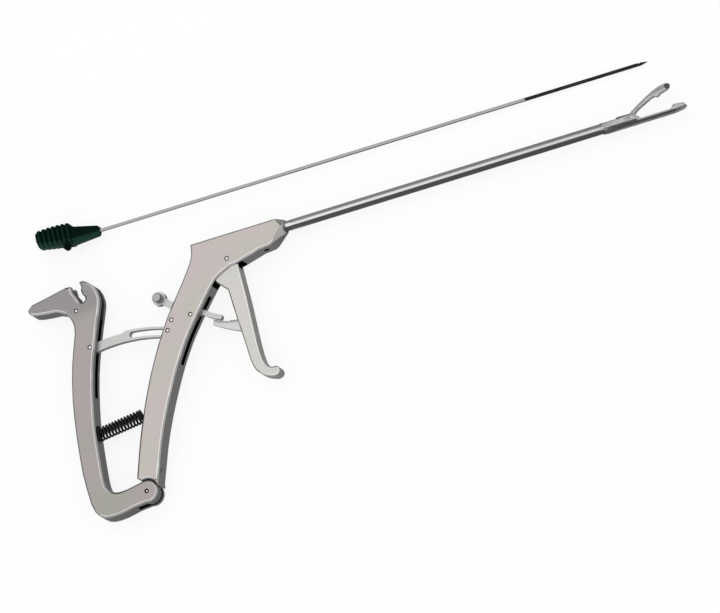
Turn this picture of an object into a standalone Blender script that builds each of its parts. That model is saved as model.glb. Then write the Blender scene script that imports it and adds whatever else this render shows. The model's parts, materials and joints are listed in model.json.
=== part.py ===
"""Suture passer: a pistol-grip arthroscopic instrument lying on its side, with its needle beside it.

Metres, +Z up. +X runs along the shaft to the jaws and +Y is up in the plane of the handles. The
instrument lies on the plane z = 0, and the origin is on that plane, on the shaft's axis line, where
the trigger's pivot is along it. Every plate's outline is drawn in that XY plane and given a thickness
about the mid plane, which also holds the shaft's axis.
"""

import math

import bmesh
import bpy
from mathutils import Matrix, Vector

MM = 0.001

# Plates of the two handles
PLATE = 10.0 * MM
PLATE_CHAMFER = 0.9 * MM
SLOT_WIDTH = 3.4 * MM
MID = PLATE / 2

# Clearances
PIN_CLEARANCE = 0.06 * MM
SEAT_GAP = 0.05 * MM
SIDE_GAP = 0.3 * MM

# Pins
PIN_RADIUS = 0.95 * MM
PIN_INSET = 0.05 * MM
SMALL_PIN_RADIUS = 0.4 * MM

# Places of the pivots in the plane of the handles
TRIGGER_PIVOT = Vector((0.0, -7.2 * MM))
RELEASE_PIVOT = Vector((-20.7 * MM, -25.9 * MM))
LEAF_PIN_PLACE = Vector((-29.3 * MM, -25.8 * MM))
MAIN_PIVOT = Vector((-55.6 * MM, -94.2 * MM))

# Travel of the joints
SQUEEZE_ANGLE = math.radians(12.5)
TRIGGER_ANGLE = math.radians(14.0)
JAW_ANGLE = math.radians(18.0)

# Front handle
HANDLE_TOP = 3.4 * MM
NOSE_TIP = 27.0 * MM
TONGUE_RADIUS = 4.4 * MM
POCKET_SIDE_GAP = 0.2 * MM

# Shaft
TUBE_RADIUS = 2.25 * MM
TUBE_WALL = 0.5 * MM
TUBE_REAR = 7.0 * MM
TUBE_FRONT = 169.7 * MM
COLLAR_WALL = 0.2 * MM
COLLAR_RADIUS = TUBE_RADIUS + COLLAR_WALL
COLLAR_LENGTH = 0.4 * MM
SET_SCREW_X = 16.3 * MM
SET_SCREW_RADIUS = 1.0 * MM
SET_SCREW_LENGTH = 2.6 * MM
SOCKET_RADIUS = 0.5 * MM
SOCKET_DEPTH = 1.2 * MM

# Needle guide tube, below the axis, and the jaw rod above it
GUIDE_RADIUS = 0.92 * MM
GUIDE_WALL = 0.12 * MM
GUIDE_HEIGHT = -0.55 * MM
GUIDE_FRONT = 172.0 * MM
ROD_RADIUS = 0.5 * MM
ROD_HEIGHT = 1.05 * MM

# Jaws
JAW_RADIUS = TUBE_RADIUS + 0.1 * MM
JAW_HINGE = Vector((182.6 * MM, 0.55 * MM))
JAW_PIN_RADIUS = 0.45 * MM
JAW_BOSS_RADIUS = 1.0 * MM
JAW_SLOT_WIDTH = 2.5 * MM
JAW_LENGTH = 22.0 * MM
JAW_SPIGOT = 4.0 * MM
JAW_BODY_TOP = 1.95 * MM
HUMP_HEIGHT = 2.6 * MM
HUMP_LENGTH = 5.6 * MM
LOWER_JAW_TOP = -0.8 * MM
LOWER_JAW_BOTTOM = -2.7 * MM
JAW_TIP = 207.6 * MM
RAISED_TIP_HEIGHT = 0.7 * MM
RAISED_TIP_LENGTH = 5.7 * MM
PANEL_DEPTH = 0.4 * MM
BLADE_HALF_WIDTH = 1.85 * MM
BLADE_FLAT_LOW = -1.8 * MM

# The drive from the trigger to the upper jaw
TRIGGER_ARM = 2.0 * MM
YOKE_LENGTH = 4.4 * MM
YOKE_WIDTH = 4.4 * MM
YOKE_TOP = 2.0 * MM
FORK_REACH = 0.25 * MM
FORK_SLOT = 1.0 * MM
ROD_FORK_PIN_RADIUS = 0.3 * MM

# Trigger
TRIGGER_THICKNESS = 7.4 * MM
TRIGGER_CHAMFER = 0.6 * MM
BULB_RADIUS = 2.1 * MM

# Ratchet bar, an arc about the trigger's pivot whose teeth pass below the release lever's pivot
PAWL_DROP = 2.1 * MM
TOOTH_TIP_RADIUS = (RELEASE_PIVOT - TRIGGER_PIVOT).length - PAWL_DROP
TOOTH_DEPTH = 0.6 * MM
RATCHET_DEPTH = 2.3 * MM
RATCHET_ROOT_DEPTH = 6.2 * MM
RATCHET_TAPER = 1.5
RATCHET_THICKNESS = 2.4 * MM
RATCHET_ROOT = math.radians(2.0)
RATCHET_END = math.radians(28.0)
TOOTHED_FROM = math.radians(12.0)
TOOTH_COUNT = 9
RATCHET_TENON = 2.2 * MM

# Release lever
LEVER_THICKNESS = 2.8 * MM
LEVER_BOSS_RADIUS = 2.0 * MM
LEVER_EYE = Vector((-33.8 * MM, -14.2 * MM))
LEVER_EYE_RADIUS = 3.0 * MM
LEVER_ARM_WIDTH = 2.9 * MM
PAWL_GAP = 0.35 * MM
PAWL_DEPTH = 2.1 * MM
PAWL_NOSE_ANGLE = math.radians(21.5)
PAWL_BOSS_ANGLE = math.radians(42.0)
PAWL_BACK_ANGLES = (PAWL_NOSE_ANGLE, math.radians(31.5), math.radians(41.3))
KNOB_RADIUS = 1.95 * MM
KNOB_END_GAP = 0.5 * MM
KNOB_CHAMFER = 0.4 * MM
LEAF_THICKNESS = 0.35 * MM
LEAF_WIDTH = 2.4 * MM
LEAF_RING_FROM = 70
LEAF_RING_TO = 330

# Rear handle, whose points are measured from the main pivot
FOOT_RADIUS = 4.8 * MM
FOOT_GAP = 0.5 * MM
FOOT_ARC_FROM = 12
FOOT_ARC_TO = 106
HUB_STOP_PLACE = MAIN_PIVOT + Vector((-13.6 * MM, 84.4 * MM))
PEG_SEAT = MAIN_PIVOT + Vector((-10.25 * MM, 89.0 * MM))
PEG_SEAT_RADIUS = 1.6 * MM
HEAD_SLOT_DEPTH = 20.7 * MM

# Guide link, an arc about the main pivot whose slot runs on the stop pin below the leaf's pin
STOP_PIN_SPACING = 4.7 * MM
STOP_PIN_PLACE = LEAF_PIN_PLACE + Vector((-2.58, -3.93)).normalized() * STOP_PIN_SPACING
STOP_PIN_ARM = STOP_PIN_PLACE - MAIN_PIVOT
STOP_PIN_ANGLE = math.atan2(STOP_PIN_ARM.x, STOP_PIN_ARM.y)
LINK_RADIUS = STOP_PIN_ARM.length
LINK_WIDTH = 4.6 * MM
LINK_ARM_STEP = 0.8 * MM
LINK_THICKNESS = 2.8 * MM
LINK_BAR = 0.95 * MM
LINK_PIN_ANGLE = math.radians(-9.3)
LINK_ROOT = LINK_PIN_ANGLE - math.radians(2.3)
LINK_SLOT_SLACK = math.radians(1.6)
LINK_SLOT_FROM = STOP_PIN_ANGLE - SQUEEZE_ANGLE - LINK_SLOT_SLACK
LINK_SLOT_TO = STOP_PIN_ANGLE + LINK_SLOT_SLACK
LINK_END = LINK_SLOT_TO + math.radians(1.7)
LINK_SHOULDER = LINK_SLOT_FROM - math.radians(2.4)
LINK_STEP_RUN = math.radians(1.4)

# Return spring, between the two handles
SPRING_RADIUS = 2.55 * MM
WIRE_RADIUS = 0.45 * MM
SPRING_COILS = 16.5
SPRING_REAR = MAIN_PIVOT + Vector((-17.7 * MM, 31.5 * MM))
SPRING_FRONT = MAIN_PIVOT + Vector((4.6 * MM, 34.2 * MM))
SPRING_POCKET_RADIUS = 3.3 * MM
SPRING_POCKET_DEPTH = 1.2 * MM

# Needle
NEEDLE_RADIUS = 0.75 * MM
NEEDLE_HUB_END = Vector((-54.6 * MM, 22.45 * MM, 4.6 * MM))
NEEDLE_TIP = Vector((194.2 * MM, 23.5 * MM, 0.8 * MM))
NEEDLE_BLACK_LENGTH = 55.0 * MM
NEEDLE_POINT_LENGTH = 3.2 * MM
NEEDLE_NOTCH = 0.5 * MM
HUB_REAR = -80.4 * MM
HUB_FRONT = -53.0 * MM
HUB_RIBS = 7
RIB_PITCH = 2.15 * MM
RIB_HEIGHT = 0.55 * MM
HUB_HALF_WIDTH = 4.6 * MM
HUB_CORNER = 0.8 * MM
HUB_LOWER_CORNER = 1.9 * MM
PEG_RADIUS = 1.5 * MM
PEG_X = -67.2 * MM
PEG_DROP = 4.0 * MM
PEG_LENGTH = 2.0 * MM

ROUND_STEPS = 20


def clear_scene():
    """Empties the scene, so that the model starts from nothing."""
    for obj in list(bpy.data.objects):
        bpy.data.objects.remove(obj, do_unlink=True)


def make_material(name, colour, roughness, metallic):
    """A plain finish for one piece."""
    material = bpy.data.materials.new(name)
    material.use_nodes = True
    shader = material.node_tree.nodes["Principled BSDF"]
    shader.inputs["Base Color"].default_value = (*colour, 1.0)
    shader.inputs["Roughness"].default_value = roughness
    shader.inputs["Metallic"].default_value = metallic
    return material


def satin_steel(name):
    return make_material(name + "_satin_steel", (0.53, 0.51, 0.50), 0.42, 1.0)


def bright_steel(name):
    return make_material(name + "_bright_steel", (0.62, 0.62, 0.63), 0.25, 1.0)


def black_finish(name):
    return make_material(name + "_black", (0.02, 0.02, 0.02), 0.35, 0.6)


def green_plastic(name):
    return make_material(name + "_green_plastic", (0.006, 0.028, 0.02), 0.4, 0.0)


def mm(*points):
    """Points written in millimetres, as vectors in metres."""
    return [Vector(point) * MM for point in points]


def moved(origin, points):
    """The points, measured from an origin."""
    return [origin + point for point in points]


def smooth_run(points, steps=3):
    """A smooth curve through the points, both ends kept."""
    padded = [2 * points[0] - points[1], *points, 2 * points[-1] - points[-2]]
    run = []
    for before, start, end, after in zip(padded, padded[1:], padded[2:], padded[3:]):
        for step in range(steps):
            t = step / steps
            run.append(
                0.5
                * (
                    2 * start
                    + (end - before) * t
                    + (2 * before - 5 * start + 4 * end - after) * t**2
                    + (3 * start - before - 3 * end + after) * t**3
                )
            )
    return [*run, points[-1].copy()]


def polar(centre, radius, angle):
    """A point at an angle from +X, anticlockwise."""
    return centre + Vector((math.cos(angle), math.sin(angle))) * radius


def clock(centre, radius, angle):
    """A point at an angle from +Y, clockwise."""
    return centre + Vector((math.sin(angle), math.cos(angle))) * radius


def arc(centre, radius, start, end, steps=8):
    """Points on an arc, with its angles in degrees from +X."""
    return [
        polar(centre, radius, math.radians(start + (end - start) * step / steps))
        for step in range(steps + 1)
    ]


def add_object(name, mesh_builder, material=None, helper=False):
    """Turns a bmesh into an object, as a piece or as a cutter that isn't drawn."""
    bmesh.ops.recalc_face_normals(mesh_builder, faces=mesh_builder.faces)
    mesh = bpy.data.meshes.new(name)
    mesh_builder.to_mesh(mesh)
    mesh_builder.free()
    obj = bpy.data.objects.new(name, mesh)
    bpy.context.scene.collection.objects.link(obj)
    if material:
        mesh.materials.append(material)
        mesh.shade_smooth()
        mesh.set_sharp_from_angle(angle=math.radians(30))
    if helper:
        obj.hide_render = True
        obj.display_type = "WIRE"
    return obj


def plate(name, outline, low, high, chamfer=0.0, material=None, helper=False):
    """A flat piece with this outline between two heights, its long edges chamfered."""
    shape = bmesh.new()
    base = shape.faces.new([shape.verts.new((p.x, p.y, low)) for p in outline])
    grown = bmesh.ops.extrude_face_region(shape, geom=[base])["geom"]
    top = [item for item in grown if isinstance(item, bmesh.types.BMVert)]
    bmesh.ops.translate(shape, vec=(0, 0, high - low), verts=top)
    if chamfer:
        rims = [e for e in shape.edges if abs(e.verts[0].co.z - e.verts[1].co.z) < 1e-7]
        bmesh.ops.bevel(
            shape, geom=rims, offset=chamfer, segments=1, profile=0.5, affect="EDGES", material=-1
        )
    return add_object(name, shape, material, helper)


def rod(name, start, end, radius, material=None, helper=False, steps=ROUND_STEPS, end_radius=None):
    """A round bar from one point to another."""
    start = Vector(start)
    along = Vector(end) - start
    turn = Vector((0, 0, 1)).rotation_difference(along).to_matrix().to_4x4()
    shape = bmesh.new()
    bmesh.ops.create_cone(
        shape,
        cap_ends=True,
        segments=steps,
        radius1=radius,
        radius2=radius if end_radius is None else end_radius,
        depth=along.length,
        matrix=Matrix.Translation(start + along / 2) @ turn,
    )
    return add_object(name, shape, material, helper)


def block(name, low, high, material=None, helper=False):
    """A box between two corners."""
    low, high = Vector(low), Vector(high)
    shape = bmesh.new()
    bmesh.ops.create_cube(
        shape, size=1.0, matrix=Matrix.Translation((low + high) / 2) @ Matrix.Diagonal((*(high - low), 1))
    )
    return add_object(name, shape, material, helper)


def combine(target, other, operation):
    """Joins another shape to a piece, cuts it away or keeps what they share."""
    change = target.modifiers.new(other.name, "BOOLEAN")
    change.operation = operation
    change.object = other
    change.solver = "EXACT"
    return target


def cut(target, other):
    return combine(target, other, "DIFFERENCE")


def drill(target, name, place, radius, low=-PLATE, high=2 * PLATE):
    """A round hole through a plate, from side to side unless its ends are given."""
    hole = rod(
        f"{target.name}_{name}_hole", (*place, low), (*place, high), radius + PIN_CLEARANCE, helper=True
    )
    return cut(target, hole)


def cross_pin(name, place, radius=PIN_RADIUS, inset=PIN_INSET):
    """A pin across the handle plates, flush with their faces."""
    return rod(name, (*place, inset), (*place, PLATE - inset), radius, bright_steel(name))


def carry(axis_name, pivot, pieces):
    """Hangs a moving body's pieces on an empty that stands on its joint's axis."""
    axis = bpy.data.objects.new(axis_name, None)
    axis.location = (*pivot, MID)
    axis.empty_display_size = PLATE
    bpy.context.scene.collection.objects.link(axis)
    for piece in pieces:
        piece.parent = axis
        piece.location -= axis.location
    return axis


def front_handle_outline():
    """The frame's outline: top edge, nose, trigger side, front grip, foot arc and rear edge."""
    top = [Vector((-14.5 * MM, HANDLE_TOP)), Vector((23.5 * MM, HANDLE_TOP))]
    nose = mm((NOSE_TIP / MM, 2.6), (NOSE_TIP / MM, -2.8), (19.5, -7.1))
    under = mm((14.6, -7.5), (4.5, -10.1))
    throat = smooth_run(mm((0.5, -10.6), (-5.9, -13.6), (-10.0, -17.4), (-17.8, -26.6)))
    grip = smooth_run(mm((-17.8, -26.6), (-25.1, -36.2), (-33.3, -50.0), (-42.8, -70.3), (-50.0, -91.4)))
    foot = arc(MAIN_PIVOT, FOOT_RADIUS + FOOT_GAP, FOOT_ARC_FROM, FOOT_ARC_TO, 7)
    rear = smooth_run(
        mm((-58.8, -87.6), (-53.9, -71.8), (-47.5, -54.9), (-40.3, -39.6), (-31.5, -24.7), (-22.0, -12.0))
    )
    back = smooth_run(mm((-22.0, -12.0), (-16.6, -4.3), (-15.0, -0.4), (-14.5, HANDLE_TOP / MM)), 2)
    return [*top, *nose, *under, *throat, *grip[1:], *foot, *rear, *back[1:-1]]


def nose_facets():
    """Four slanted cuts that bring the thick nose down to the collar, as (point, normal) pairs."""
    upper, lower = Vector((13.3, 8.1, 11.4)), Vector((23.4, -21.7, 19.9))
    facets = []
    for place, normal in (((23.5, HANDLE_TOP / MM), upper), ((19.5, -7.1), lower)):
        for side in (1, -1):
            point = Vector((place[0] * MM, place[1] * MM, MID + side * MID))
            facets.append((point, Vector((normal.x, normal.y, normal.z * side)).normalized()))
    return facets


def slice_corner(target, name, point, normal):
    """Takes off what lies beyond a plane."""
    reach = 3 * PLATE
    turn = Vector((0, 0, 1)).rotation_difference(normal).to_matrix().to_4x4()
    shape = bmesh.new()
    bmesh.ops.create_cube(
        shape, size=reach, matrix=Matrix.Translation(point) @ turn @ Matrix.Translation((0, 0, reach / 2))
    )
    return cut(target, add_object(f"{target.name}_{name}", shape, helper=True))


def slot_cutter(name, outline, width):
    """A cutter for a slot of this width in the mid plane."""
    return plate(name, outline, MID - width / 2, MID + width / 2, helper=True)


def build_front_handle():
    handle = plate(
        "front_handle", front_handle_outline(), 0, PLATE, PLATE_CHAMFER, satin_steel("front_handle")
    )
    for index, (point, normal) in enumerate(nose_facets()):
        slice_corner(handle, f"nose_facet_{index}", point, normal)

    tongue_outline = [
        *arc(MAIN_PIVOT, TONGUE_RADIUS, -155, 10, 12),
        *mm((-48.0, -86.0), (-55.5, -84.5)),
    ]
    tongue_half = SLOT_WIDTH / 2 - SIDE_GAP / 2
    tongue = plate("front_handle_tongue", tongue_outline, MID - tongue_half, MID + tongue_half, helper=True)
    combine(handle, tongue, "UNION")

    pocket_half = TRIGGER_THICKNESS / 2 + POCKET_SIDE_GAP
    pocket = mm((6.0, -13.0), (6.0, -9.0), (4.8, -4.6), (3.0, -2.6), (-3.2, -2.6), (-5.4, -4.6),
                (-10.6, -10.6), (-11.6, -16.6), (-4.0, -16.6))
    cut(handle, plate("trigger_pocket", pocket, MID - pocket_half, MID + pocket_half, helper=True))

    yoke_room = YOKE_LENGTH / 2 + 1.6 * MM
    yoke_half = YOKE_WIDTH / 2 + SIDE_GAP
    cut(
        handle,
        block(
            "yoke_room",
            (-yoke_room, TRIGGER_PIVOT.y, MID - yoke_half),
            (yoke_room, YOKE_TOP + SIDE_GAP, MID + yoke_half),
            helper=True,
        ),
    )

    slot = mm((-34.0, -15.2), (-5.0, -20.9), (-5.0, -30.0), (-28.0, -46.6), (-38.5, -37.4), (-52.0, -37.0))
    cut(handle, slot_cutter("handle_slot", slot, SLOT_WIDTH))

    cut(
        handle,
        rod(
            "tube_bore",
            (TUBE_REAR - SEAT_GAP, 0, MID),
            (NOSE_TIP + 5 * MM, 0, MID),
            TUBE_RADIUS + SEAT_GAP,
            helper=True,
        ),
    )
    cut(handle, rod("rod_way", (0, ROD_HEIGHT, MID), (TUBE_REAR + MM, ROD_HEIGHT, MID),
                    ROD_RADIUS + SIDE_GAP / 2, helper=True))
    cut(handle, rod("guide_bore", (-30 * MM, GUIDE_HEIGHT, MID), (TUBE_REAR + MM, GUIDE_HEIGHT, MID),
                    GUIDE_RADIUS + SEAT_GAP, helper=True))
    cut(handle, rod("set_screw_bore", (SET_SCREW_X, -12 * MM, MID), (SET_SCREW_X, -1.0 * MM, MID),
                    SET_SCREW_RADIUS + SEAT_GAP, helper=True))
    cut(handle, spring_pocket("front_spring_pocket", SPRING_FRONT, SPRING_REAR))

    drill(handle, "trigger", TRIGGER_PIVOT, PIN_RADIUS)
    drill(handle, "release", RELEASE_PIVOT, PIN_RADIUS)
    drill(handle, "leaf", LEAF_PIN_PLACE, PIN_RADIUS)
    drill(handle, "guide_stop", STOP_PIN_PLACE, PIN_RADIUS)
    drill(handle, "main", MAIN_PIVOT, PIN_RADIUS)
    return handle


def link_pin_place():
    """The pin that carries the guide link's arm in the rear handle."""
    return clock(MAIN_PIVOT, LINK_RADIUS - LINK_ARM_STEP / 2, LINK_PIN_ANGLE)


def spring_pocket(name, end, other_end):
    """A round seat for one end of the return spring, open towards the other end."""
    along = (other_end - end).normalized()
    start = end - along * SPRING_POCKET_DEPTH * 0.1
    stop = end + along * 6 * MM
    return rod(name, (*start, MID), (*stop, MID), SPRING_POCKET_RADIUS, helper=True)


def build_shaft():
    """The tube, its collar and the screw that holds it in the nose."""
    tube = rod("shaft_tube", (TUBE_REAR, 0, MID), (TUBE_FRONT, 0, MID), TUBE_RADIUS,
               bright_steel("shaft_tube"), steps=32)
    cut(tube, rod("tube_hollow", (TUBE_REAR - MM, 0, MID), (TUBE_FRONT + MM, 0, MID),
                  TUBE_RADIUS - TUBE_WALL, helper=True, steps=32))

    collar_rear = NOSE_TIP + SEAT_GAP
    collar = rod("shaft_collar", (collar_rear, 0, MID), (collar_rear + COLLAR_LENGTH, 0, MID),
                 COLLAR_RADIUS, satin_steel("shaft_collar"), end_radius=COLLAR_RADIUS - 0.3 * MM)
    cut(collar, rod("collar_bore", (NOSE_TIP - MM, 0, MID), (NOSE_TIP + 4 * MM, 0, MID),
                    TUBE_RADIUS + SEAT_GAP, helper=True, steps=32))

    screw_top = -TUBE_RADIUS - 2 * SEAT_GAP
    screw = rod("shaft_set_screw", (SET_SCREW_X, screw_top - SET_SCREW_LENGTH, MID),
                (SET_SCREW_X, screw_top, MID), SET_SCREW_RADIUS, bright_steel("shaft_set_screw"))
    cut(screw, rod("screw_socket", (SET_SCREW_X, screw_top - SET_SCREW_LENGTH - MM, MID),
                   (SET_SCREW_X, screw_top - SET_SCREW_LENGTH + SOCKET_DEPTH, MID), SOCKET_RADIUS,
                   helper=True, steps=6))

    rear_wall = -14.8 * MM
    guide = rod("needle_guide_tube", (rear_wall, GUIDE_HEIGHT, MID), (GUIDE_FRONT, GUIDE_HEIGHT, MID),
                GUIDE_RADIUS, bright_steel("needle_guide_tube"), steps=16)
    cut(guide, rod("guide_hollow", (rear_wall - MM, GUIDE_HEIGHT, MID),
                   (GUIDE_FRONT + MM, GUIDE_HEIGHT, MID), GUIDE_RADIUS - GUIDE_WALL, helper=True, steps=16))
    return [tube, collar, screw, guide]


def lower_jaw_outline():
    """Side view of the fixed jaw, from its seat on the tube to its raised tip."""
    rear = TUBE_FRONT + SEAT_GAP
    step = 1.2 * MM
    hump_rear = JAW_HINGE.x - HUMP_LENGTH / 2
    hump_front = JAW_HINGE.x + HUMP_LENGTH / 2
    block_rear = JAW_TIP - RAISED_TIP_LENGTH
    top = [
        Vector((rear, TUBE_RADIUS)),
        Vector((rear + step, JAW_BODY_TOP)),
        Vector((hump_rear - 1.2 * MM, JAW_BODY_TOP)),
        Vector((hump_rear + 0.4 * MM, HUMP_HEIGHT)),
        Vector((hump_front - 1.0 * MM, HUMP_HEIGHT)),
        Vector((hump_front + 0.6 * MM, 0.9 * MM)),
        Vector((hump_front + 2.4 * MM, LOWER_JAW_TOP)),
    ]
    raised = [
        Vector((block_rear - 0.6 * MM, LOWER_JAW_TOP)),
        Vector((block_rear, RAISED_TIP_HEIGHT - 0.7 * MM)),
        Vector((block_rear + 0.7 * MM, RAISED_TIP_HEIGHT)),
        Vector((JAW_TIP - 1.6 * MM, RAISED_TIP_HEIGHT - 0.6 * MM)),
        Vector((JAW_TIP - 0.2 * MM, RAISED_TIP_HEIGHT - 1.0 * MM)),
        Vector((JAW_TIP, RAISED_TIP_HEIGHT - 1.4 * MM)),
    ]
    under = [
        Vector((JAW_TIP - 1.4 * MM, LOWER_JAW_BOTTOM + 1.0 * MM)),
        Vector((JAW_TIP - 6.0 * MM, LOWER_JAW_BOTTOM + 0.1 * MM)),
        Vector((JAW_TIP - 9.0 * MM, LOWER_JAW_BOTTOM)),
        Vector((rear + 2 * step, LOWER_JAW_BOTTOM)),
        Vector((rear, -TUBE_RADIUS)),
    ]
    return [*top, *raised, *under]


def build_lower_jaw():
    """The fixed jaw: a side profile kept inside an oval bar, then slotted for the upper jaw."""
    jaw = plate("lower_jaw", lower_jaw_outline(), MID - 2 * JAW_RADIUS, MID + 2 * JAW_RADIUS,
                material=bright_steel("lower_jaw"))
    oval_centre = (HUMP_HEIGHT + LOWER_JAW_BOTTOM) / 2
    oval_half = (HUMP_HEIGHT - LOWER_JAW_BOTTOM) / 2 + 0.15 * MM
    shape = bmesh.new()
    bmesh.ops.create_cone(
        shape, cap_ends=True, segments=28, radius1=1.0, radius2=1.0, depth=JAW_TIP,
        matrix=Matrix.Translation((JAW_TIP, oval_centre, MID))
        @ Matrix.Diagonal((1, oval_half, JAW_RADIUS, 1))
        @ Matrix.Rotation(math.radians(90), 4, "Y"),
    )
    combine(jaw, add_object("jaw_oval", shape, helper=True), "INTERSECT")

    half_slot = JAW_SLOT_WIDTH / 2
    cut(jaw, block("jaw_slot", (JAW_HINGE.x - 7.6 * MM, -1.35 * MM, MID - half_slot),
                   (JAW_HINGE.x + 5.0 * MM, 6 * MM, MID + half_slot), helper=True))
    for side in (-1, 1):
        inner = MID + side * (JAW_RADIUS - PANEL_DEPTH)
        outer = MID + side * 2 * JAW_RADIUS
        cut(jaw, block(f"jaw_side_flat_{side + 1}",
                       (TUBE_FRONT + 1.8 * MM, -0.5 * MM, min(inner, outer)),
                       (JAW_HINGE.x + 6.2 * MM, 6 * MM, max(inner, outer)), helper=True))
        blade = MID + side * BLADE_HALF_WIDTH
        cut(jaw, block(f"blade_side_flat_{side + 1}",
                       (JAW_HINGE.x + 3.4 * MM, BLADE_FLAT_LOW, min(blade, outer)),
                       (JAW_TIP + MM, 6 * MM, max(blade, outer)), helper=True))
    needle_way = rod("jaw_needle_way", (TUBE_FRONT - 8 * MM, GUIDE_HEIGHT, MID),
                     (JAW_TIP - 6.0 * MM, GUIDE_HEIGHT, MID), GUIDE_RADIUS + SEAT_GAP, helper=True, steps=16)

    spigot = rod("jaw_spigot", (TUBE_FRONT - JAW_SPIGOT, 0, MID), (TUBE_FRONT + 2 * MM, 0, MID),
                 TUBE_RADIUS - TUBE_WALL - SEAT_GAP, helper=True)
    combine(jaw, spigot, "UNION")
    cut(jaw, needle_way)
    rod_half = ROD_RADIUS + SIDE_GAP / 2
    cut(jaw, block("jaw_rod_way", (TUBE_FRONT - 8 * MM, GUIDE_HEIGHT + 0.5 * MM, MID - rod_half),
                   (JAW_HINGE.x - 7.0 * MM, ROD_HEIGHT + rod_half + MM, MID + rod_half), helper=True))
    hole = rod("jaw_pin_hole", (*JAW_HINGE, MID - 2 * JAW_RADIUS), (*JAW_HINGE, MID + 2 * JAW_RADIUS),
               JAW_PIN_RADIUS + PIN_CLEARANCE, helper=True)
    cut(jaw, hole)

    pin_half = JAW_RADIUS - PANEL_DEPTH - SEAT_GAP
    pin = rod("jaw_pin", (*JAW_HINGE, MID - pin_half), (*JAW_HINGE, MID + pin_half), JAW_PIN_RADIUS,
              satin_steel("jaw_pin"))
    return [jaw, pin]


def jaw_arm_length():
    """The upper jaw's arm turns it through its range while the rod makes the trigger's travel."""
    return TRIGGER_ARM * math.sin(TRIGGER_ANGLE / 2) / math.sin(JAW_ANGLE / 2)


def fork_pin_place():
    """Where the rod's fork pin stands at rest, half the jaw's range behind its hinge."""
    return clock(JAW_HINGE, jaw_arm_length(), -JAW_ANGLE / 2)


def build_upper_jaw():
    """The pivoting jaw, drawn open: boss, cranked neck, curved blade, pad and windowed tip."""
    width = JAW_SLOT_WIDTH - SIDE_GAP
    scale = JAW_LENGTH / (22.0 * MM)
    upper = smooth_run(mm((0.55, 1.0), (0.8, 2.2), (4.3, 4.4), (8.8, 6.9), (13.6, 9.1), (16.9, 10.0)))
    tip = mm((18.7, 10.1), (19.9, 9.5), (19.2, 8.1), (18.0, 7.4))
    pad = mm((15.0, 6.6), (14.0, 5.8), (13.1, 5.8), (12.3, 6.2))
    lower = smooth_run(mm((10.8, 5.9), (7.0, 4.1), (3.8, 2.5), (2.0, 0.9)))
    boss = arc(Vector((0, 0)), JAW_BOSS_RADIUS, 10, -240, 12)
    outline = moved(JAW_HINGE, [p * scale for p in (*upper, *tip, *pad, *lower)])
    outline += moved(JAW_HINGE, boss)
    jaw = plate("upper_jaw", outline, MID - width / 2, MID + width / 2, material=bright_steel("upper_jaw"))

    arm = jaw_arm_length()
    lean = JAW_ANGLE / 2
    arm_outline = [
        clock(JAW_HINGE, 0.75 * MM, -math.radians(60)),
        clock(JAW_HINGE, arm, -lean - 0.33),
        clock(JAW_HINGE, arm + 0.5 * MM, -lean - 0.2),
        clock(JAW_HINGE, arm + 0.5 * MM, -lean + 0.2),
        clock(JAW_HINGE, arm, -lean + 0.33),
        clock(JAW_HINGE, 0.75 * MM, math.radians(20)),
    ]
    thin = FORK_SLOT / 2 - SEAT_GAP
    combine(jaw, plate("jaw_arm", arm_outline, MID - thin, MID + thin, helper=True), "UNION")
    cut(jaw, rod("arm_pin_hole", (*fork_pin_place(), MID - width), (*fork_pin_place(), MID + width),
                 ROD_FORK_PIN_RADIUS + 2 * PIN_CLEARANCE, helper=True))
    cut(jaw, rod("boss_hole", (*JAW_HINGE, MID - width), (*JAW_HINGE, MID + width),
                 JAW_PIN_RADIUS + PIN_CLEARANCE, helper=True))

    window = moved(JAW_HINGE, [p * scale for p in mm((18.6, 11.4), (17.9, 9.4), (16.4, 6.2), (19.2, 7.0),
                                                      (19.6, 11.4))])
    cut(jaw, slot_cutter("jaw_window", window, width * 0.5))
    return jaw


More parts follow.
